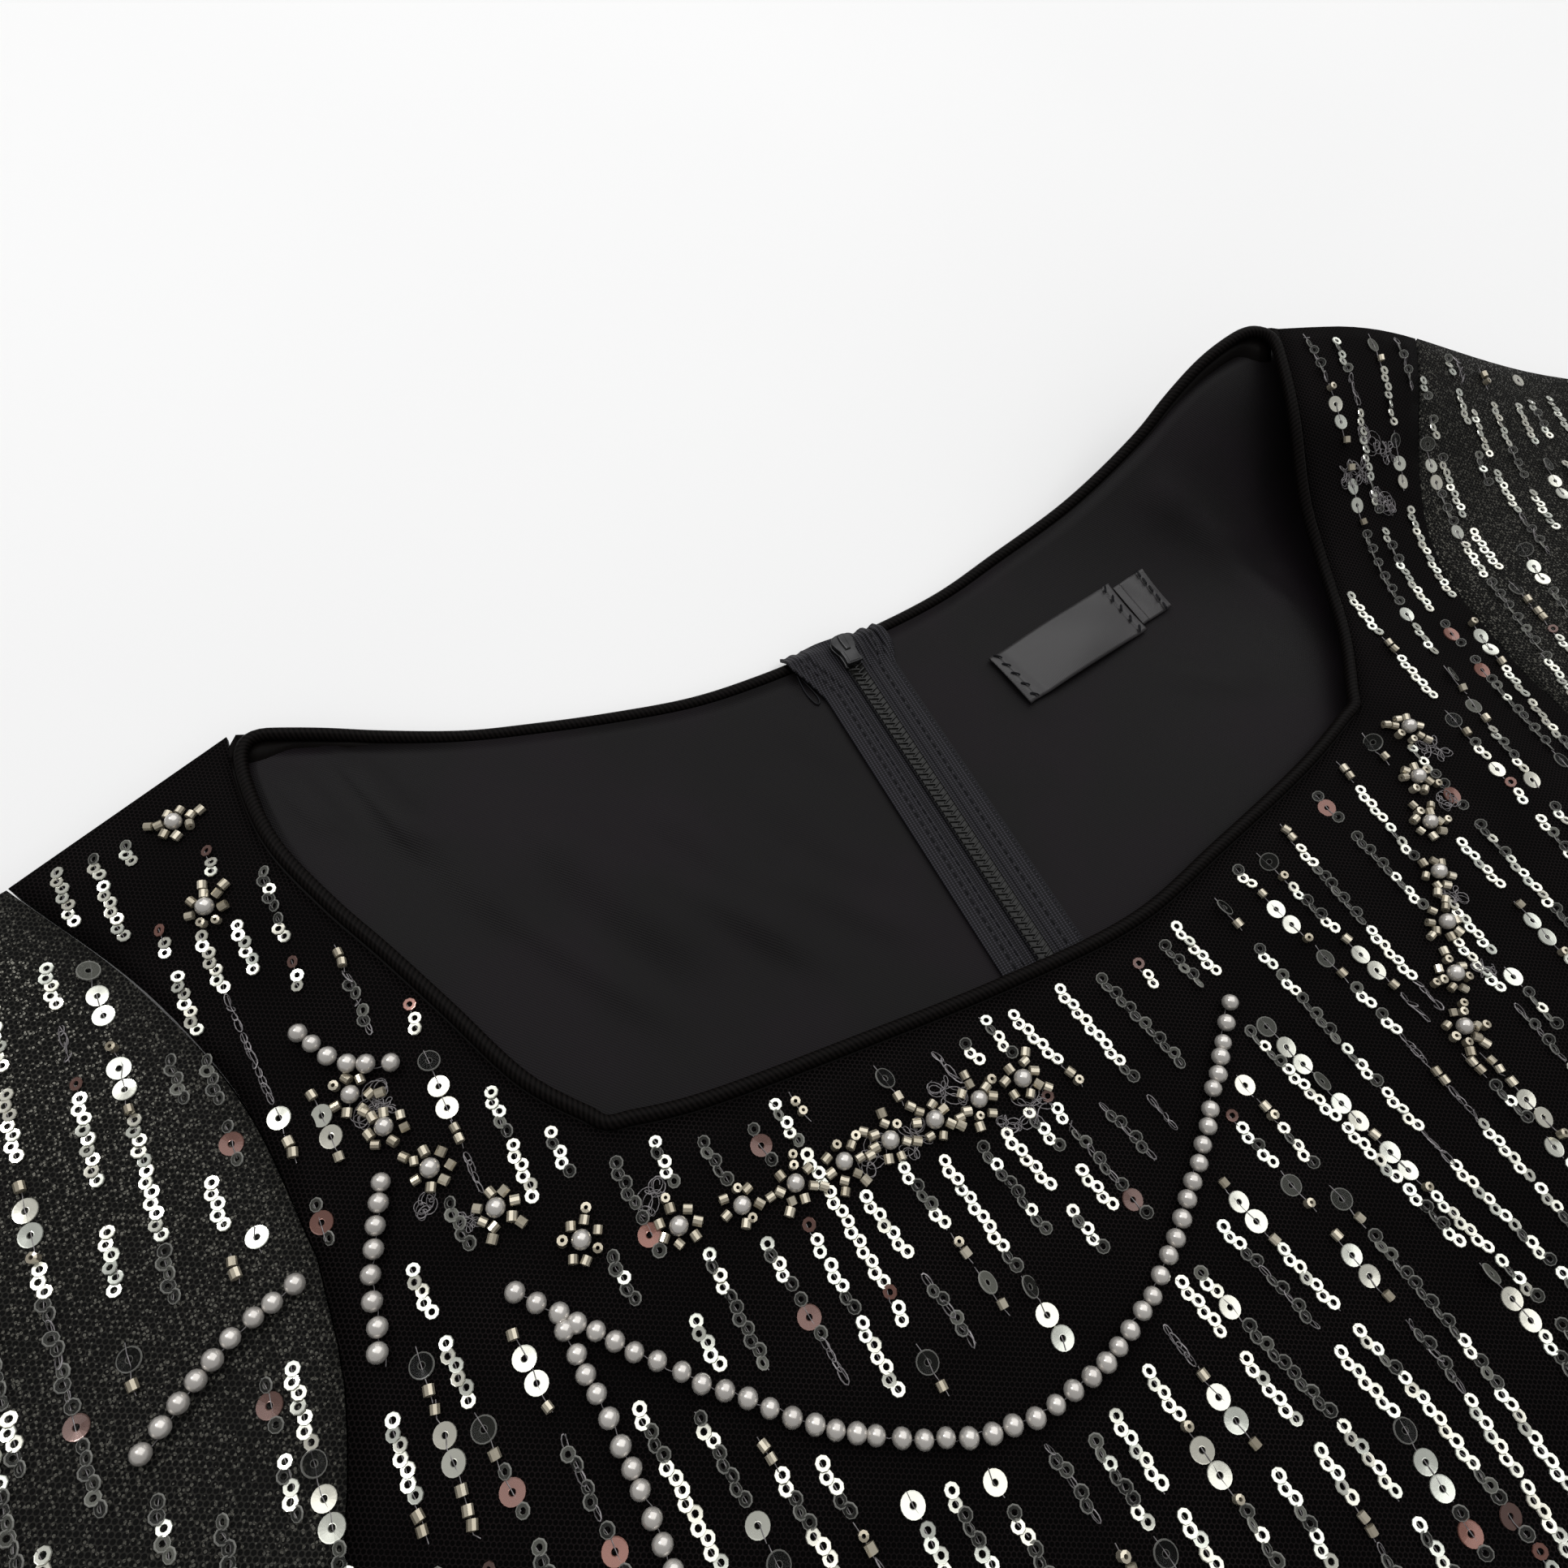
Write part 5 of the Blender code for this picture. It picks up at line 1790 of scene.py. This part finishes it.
    def knot(self, x: float, y: float, reach: float) -> None:
        """Sew a scribble of loose loops of thread."""
        shift = self.hand.uniform(0, 6, 4)
        places = []
        for t in np.linspace(0, 2 * math.pi * 3.2, 110):
            px = x + reach * 0.48 * (math.sin(0.83 * t + shift[0]) + 0.55 * math.sin(3.1 * t + shift[1]))
            py = y + reach * 0.44 * (math.cos(0.71 * t + shift[2]) + 0.60 * math.cos(3.1 * t + shift[1]))
            found = self.ground.at(px, py)
            if found is not None:
                places.append(found[0] + found[1] * (0.4 + 0.25 * math.sin(5 * t)) * MM)
        self.threads.append(places)

    def inside(self, x: float, y: float, margin: float) -> bool:
        """Whether a point is on the cloth and away from its edges."""
        for dx, dy in ((0, 0), (margin, 0), (-margin, 0), (0, margin), (0, -margin)):
            if self.ground.at(x + dx, y + dy) is None:
                return False
        return True

    def column_x(self, x0: float, y: float) -> float:
        """Where a column of strands runs at a height y."""
        lean = float(np.interp(x0, [row.column for row in LEANS], [row.lean for row in LEANS]))
        return x0 + lean * max(0.0, y - self.bust_y)

    def knots(self, flowers: np.ndarray) -> None:
        """Sew knots beside some of the flowers and in a group on the right strap."""
        for x, y in flowers:
            if self.hand.random() < self.knot_share:
                angle, reach = self.hand.uniform(0, 2 * math.pi), self.hand.uniform(5, 9)
                self.knot(x + reach * math.cos(angle), y + reach * math.sin(angle), self.hand.uniform(3, 6))
        for _ in range(self.strap_knots):
            self.knot(self.hand.uniform(145, 170), self.hand.uniform(112, 135), self.hand.uniform(4, 6))

    def crowded(self, grid: dict, x: float, y: float, length: float) -> bool:
        """Whether a pearl or a flower lies where a strand with this middle would go."""
        row, column = int(x // self.cell), int(y // self.cell)
        near_by = [place for i in (-1, 0, 1) for j in (-1, 0, 1)
                   for place in grid.get((row + i, column + j), [])]
        return any(abs(other_x - x) <= self.clear_aside and abs(other_y - y) <= length / 2 + self.clear_along
                   for other_x, other_y in near_by)

    def fill(self, taken: np.ndarray) -> None:
        """Sew strands in columns from the shoulders down to the hem.

        Args:
            taken: the places of the pearls and flowers, which strands keep clear of.
        """
        grid = {}
        for x, y in taken:
            grid.setdefault((int(x // self.cell), int(y // self.cell)), []).append((x, y))
        for column in range(-44, 45):
            x0 = column * self.pitch + self.hand.normal(0, 0.8)
            y, wave = self.first_y - self.hand.uniform(0, 6), self.hand.uniform(0, 6)
            while y > CUT.hem_y + 6:
                phrase = self.hand.choice(PHRASES) if self.hand.random() < 0.8 else "ooooooo"
                near = y > self.near_end_y and abs(x0) < self.near_half_width
                length = sum(Stitch(letter).room for letter in phrase)
                xs = [self.column_x(x0, y - k * length) + 2.2 * math.sin((y - k * length) / 37.0 + wave)
                      for k in (0, 0.5, 1)]
                middle = y - length / 2
                clear = (self.inside(xs[1], middle, 3.5) and self.inside(xs[0], y, 2.5)
                         and self.inside(xs[2], y - length, 2.5))
                if clear and middle > self.trimmed_end_y:
                    clear = not self.crowded(grid, xs[1], middle, length)
                bare = (abs(x0) > self.sparse_half_width and y > self.sparse_end_y
                        and self.hand.random() < self.sparse_share)
                if clear and not bare:
                    path = np.array([[xs[0], y], [xs[1], middle], [xs[2], y - length]])
                    self.strand(path, phrase, near)
                    gap = self.hand.choice((0.0, 0.0, 1.0, 4.0)) if near else self.hand.uniform(2.0, 15.0)
                    y -= length + gap
                else:
                    y -= 4.0

    def make(self) -> list:
        """Sew everything and turn it into pieces.

        Returns:
            The pieces.
        """
        taken = []
        for row in PEARL_ROWS:
            line = self.pearl_path(row)
            self.pearls(line)
            taken += line[::4].tolist()
        flowers = np.vstack([self.flower_places(garland) for garland in GARLANDS])
        for x, y in flowers:
            self.flower(float(x), float(y))
        self.knots(flowers)
        taken += flowers.tolist()
        self.fill(np.array(taken))
        return self.pieces()

    def pieces(self) -> list:
        """Turn the places into meshes, one for each finish and zone."""
        shapes = Shapes()
        finishes = {"bright": BRIGHT, "clear": CLEAR, "copper": COPPER, "bead": CHAMPAGNE,
                    "pearl": PEARL, "link": LUREX}
        made = []
        for number, ((kind, near), places) in enumerate(sorted(self.kept.items())):
            word = kind.split("_")[-1]
            shape = getattr(shapes, word if near or word in ("pearl", "link") else f"far_{word}")()
            finish = finishes[kind.split("_")[0]]
            name = f"{kind}s_{'neck' if near else 'skirt'}"
            piece = Repeats.grown(name, places.mesh(name + "_points"), Repeats.shape_tree,
                                  {"Shape": shape, "Finish": finish.material(), "Seed": number + 3})
            if word == "pearl":
                piece.data.shade_smooth()
            made.append(ride_as(piece, "beaded_net"))
        for near, radius in ((True, 0.13), (False, 0.15)):
            chosen = [line for line in self.threads if len(line) > 1 and (line[0].y > (
                self.near_end_y + MIDDLE_Y) * MM) == near]
            verts = [tuple(v) for line in chosen for v in line]
            edges, base = [], 0
            for line in chosen:
                edges += [(base + i, base + i + 1) for i in range(len(line) - 1)]
                base += len(line)
            mesh = bpy.data.meshes.new("thread_lines")
            mesh.from_pydata(verts, edges, [])
            name = f"threads_{'neck' if near else 'skirt'}"
            made.append(ride_as(Repeats.grown(name, mesh, Repeats.thread_tree, {
                "Radius": radius * MM, "Sides": 3, "Finish": LUREX.material()}), "beaded_net"))
        return made


@dataclass
class Studio:
    """The pale floor, the soft lights and the camera."""

    eye: tuple = (-127.6, 0.0, 246.3)
    right: tuple = (0.8759, -0.4699, 0.1092)
    up: tuple = (0.3611, 0.7886, 0.4977)
    ahead: tuple = (0.3200, 0.3964, -0.8605)
    lens: float = 27.04

    def make(self) -> None:
        """Make them all."""
        bpy.ops.mesh.primitive_plane_add(size=14.0, location=(0, 0, -0.0003))
        floor = bpy.context.object
        floor.name = "floor"
        floor.data.materials.append(FLOOR.material())
        world = bpy.data.worlds.new("studio")
        world.use_nodes = True
        world.node_tree.nodes["Background"].inputs[0].default_value = (1.0, 1.0, 1.0, 1.0)
        world.node_tree.nodes["Background"].inputs[1].default_value = 0.36
        bpy.context.scene.world = world
        self.lamp("softbox", (0.55, 1.25, 1.45), (0.0, 0.60, 0.0), 2.4, 24.0)
        self.lamp("window", (-0.45, 1.15, 0.85), (0.0, 0.60, 0.0), 0.16, 1.8)
        data = bpy.data.cameras.new("camera")
        data.lens, data.sensor_width, data.clip_start = self.lens, 36.0, 0.01
        camera = bpy.data.objects.new("camera", data)
        bpy.context.scene.collection.objects.link(camera)
        turn = Matrix([self.right, self.up, [-k for k in self.ahead]]).transposed()
        camera.matrix_world = Matrix.Translation(Vector(put_down(np.array(self.eye)))) @ turn.to_4x4()
        bpy.context.scene.camera = camera
        bpy.context.scene.view_settings.view_transform = "Standard"

    @staticmethod
    def lamp(name: str, place: tuple, aim: tuple, size: float, power: float) -> None:
        """Add a square soft light that looks at a point."""
        data = bpy.data.lights.new(name, "AREA")
        data.energy, data.size = power, size
        lamp = bpy.data.objects.new(name, data)
        bpy.context.scene.collection.objects.link(lamp)
        lamp.location = place
        lamp.rotation_euler = (Vector(aim) - Vector(place)).to_track_quat("-Z", "Y").to_euler()


def main() -> None:
    """Build the dress, piece by piece."""
    logging.basicConfig(level=logging.INFO, format="%(message)s")
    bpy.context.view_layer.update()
    studio = Studio()
    studio.make()
    panels = ClothPanels().make()
    LOG.info("cloth panels: %d", len(panels))
    LOG.info("piping: %d", len(NeckPiping().make()))
    LOG.info("zip: %d", len(ConcealedZip().make()))
    LOG.info("labels: %d", len(NeckLabels().make()))
    ground = Ground([panels["front"], panels["sleeve_left_cloth"], panels["sleeve_right_cloth"]])
    LOG.info("beadwork: %d", len(Beadwork(ground).make()))


if __name__ == "__main__":
    main()
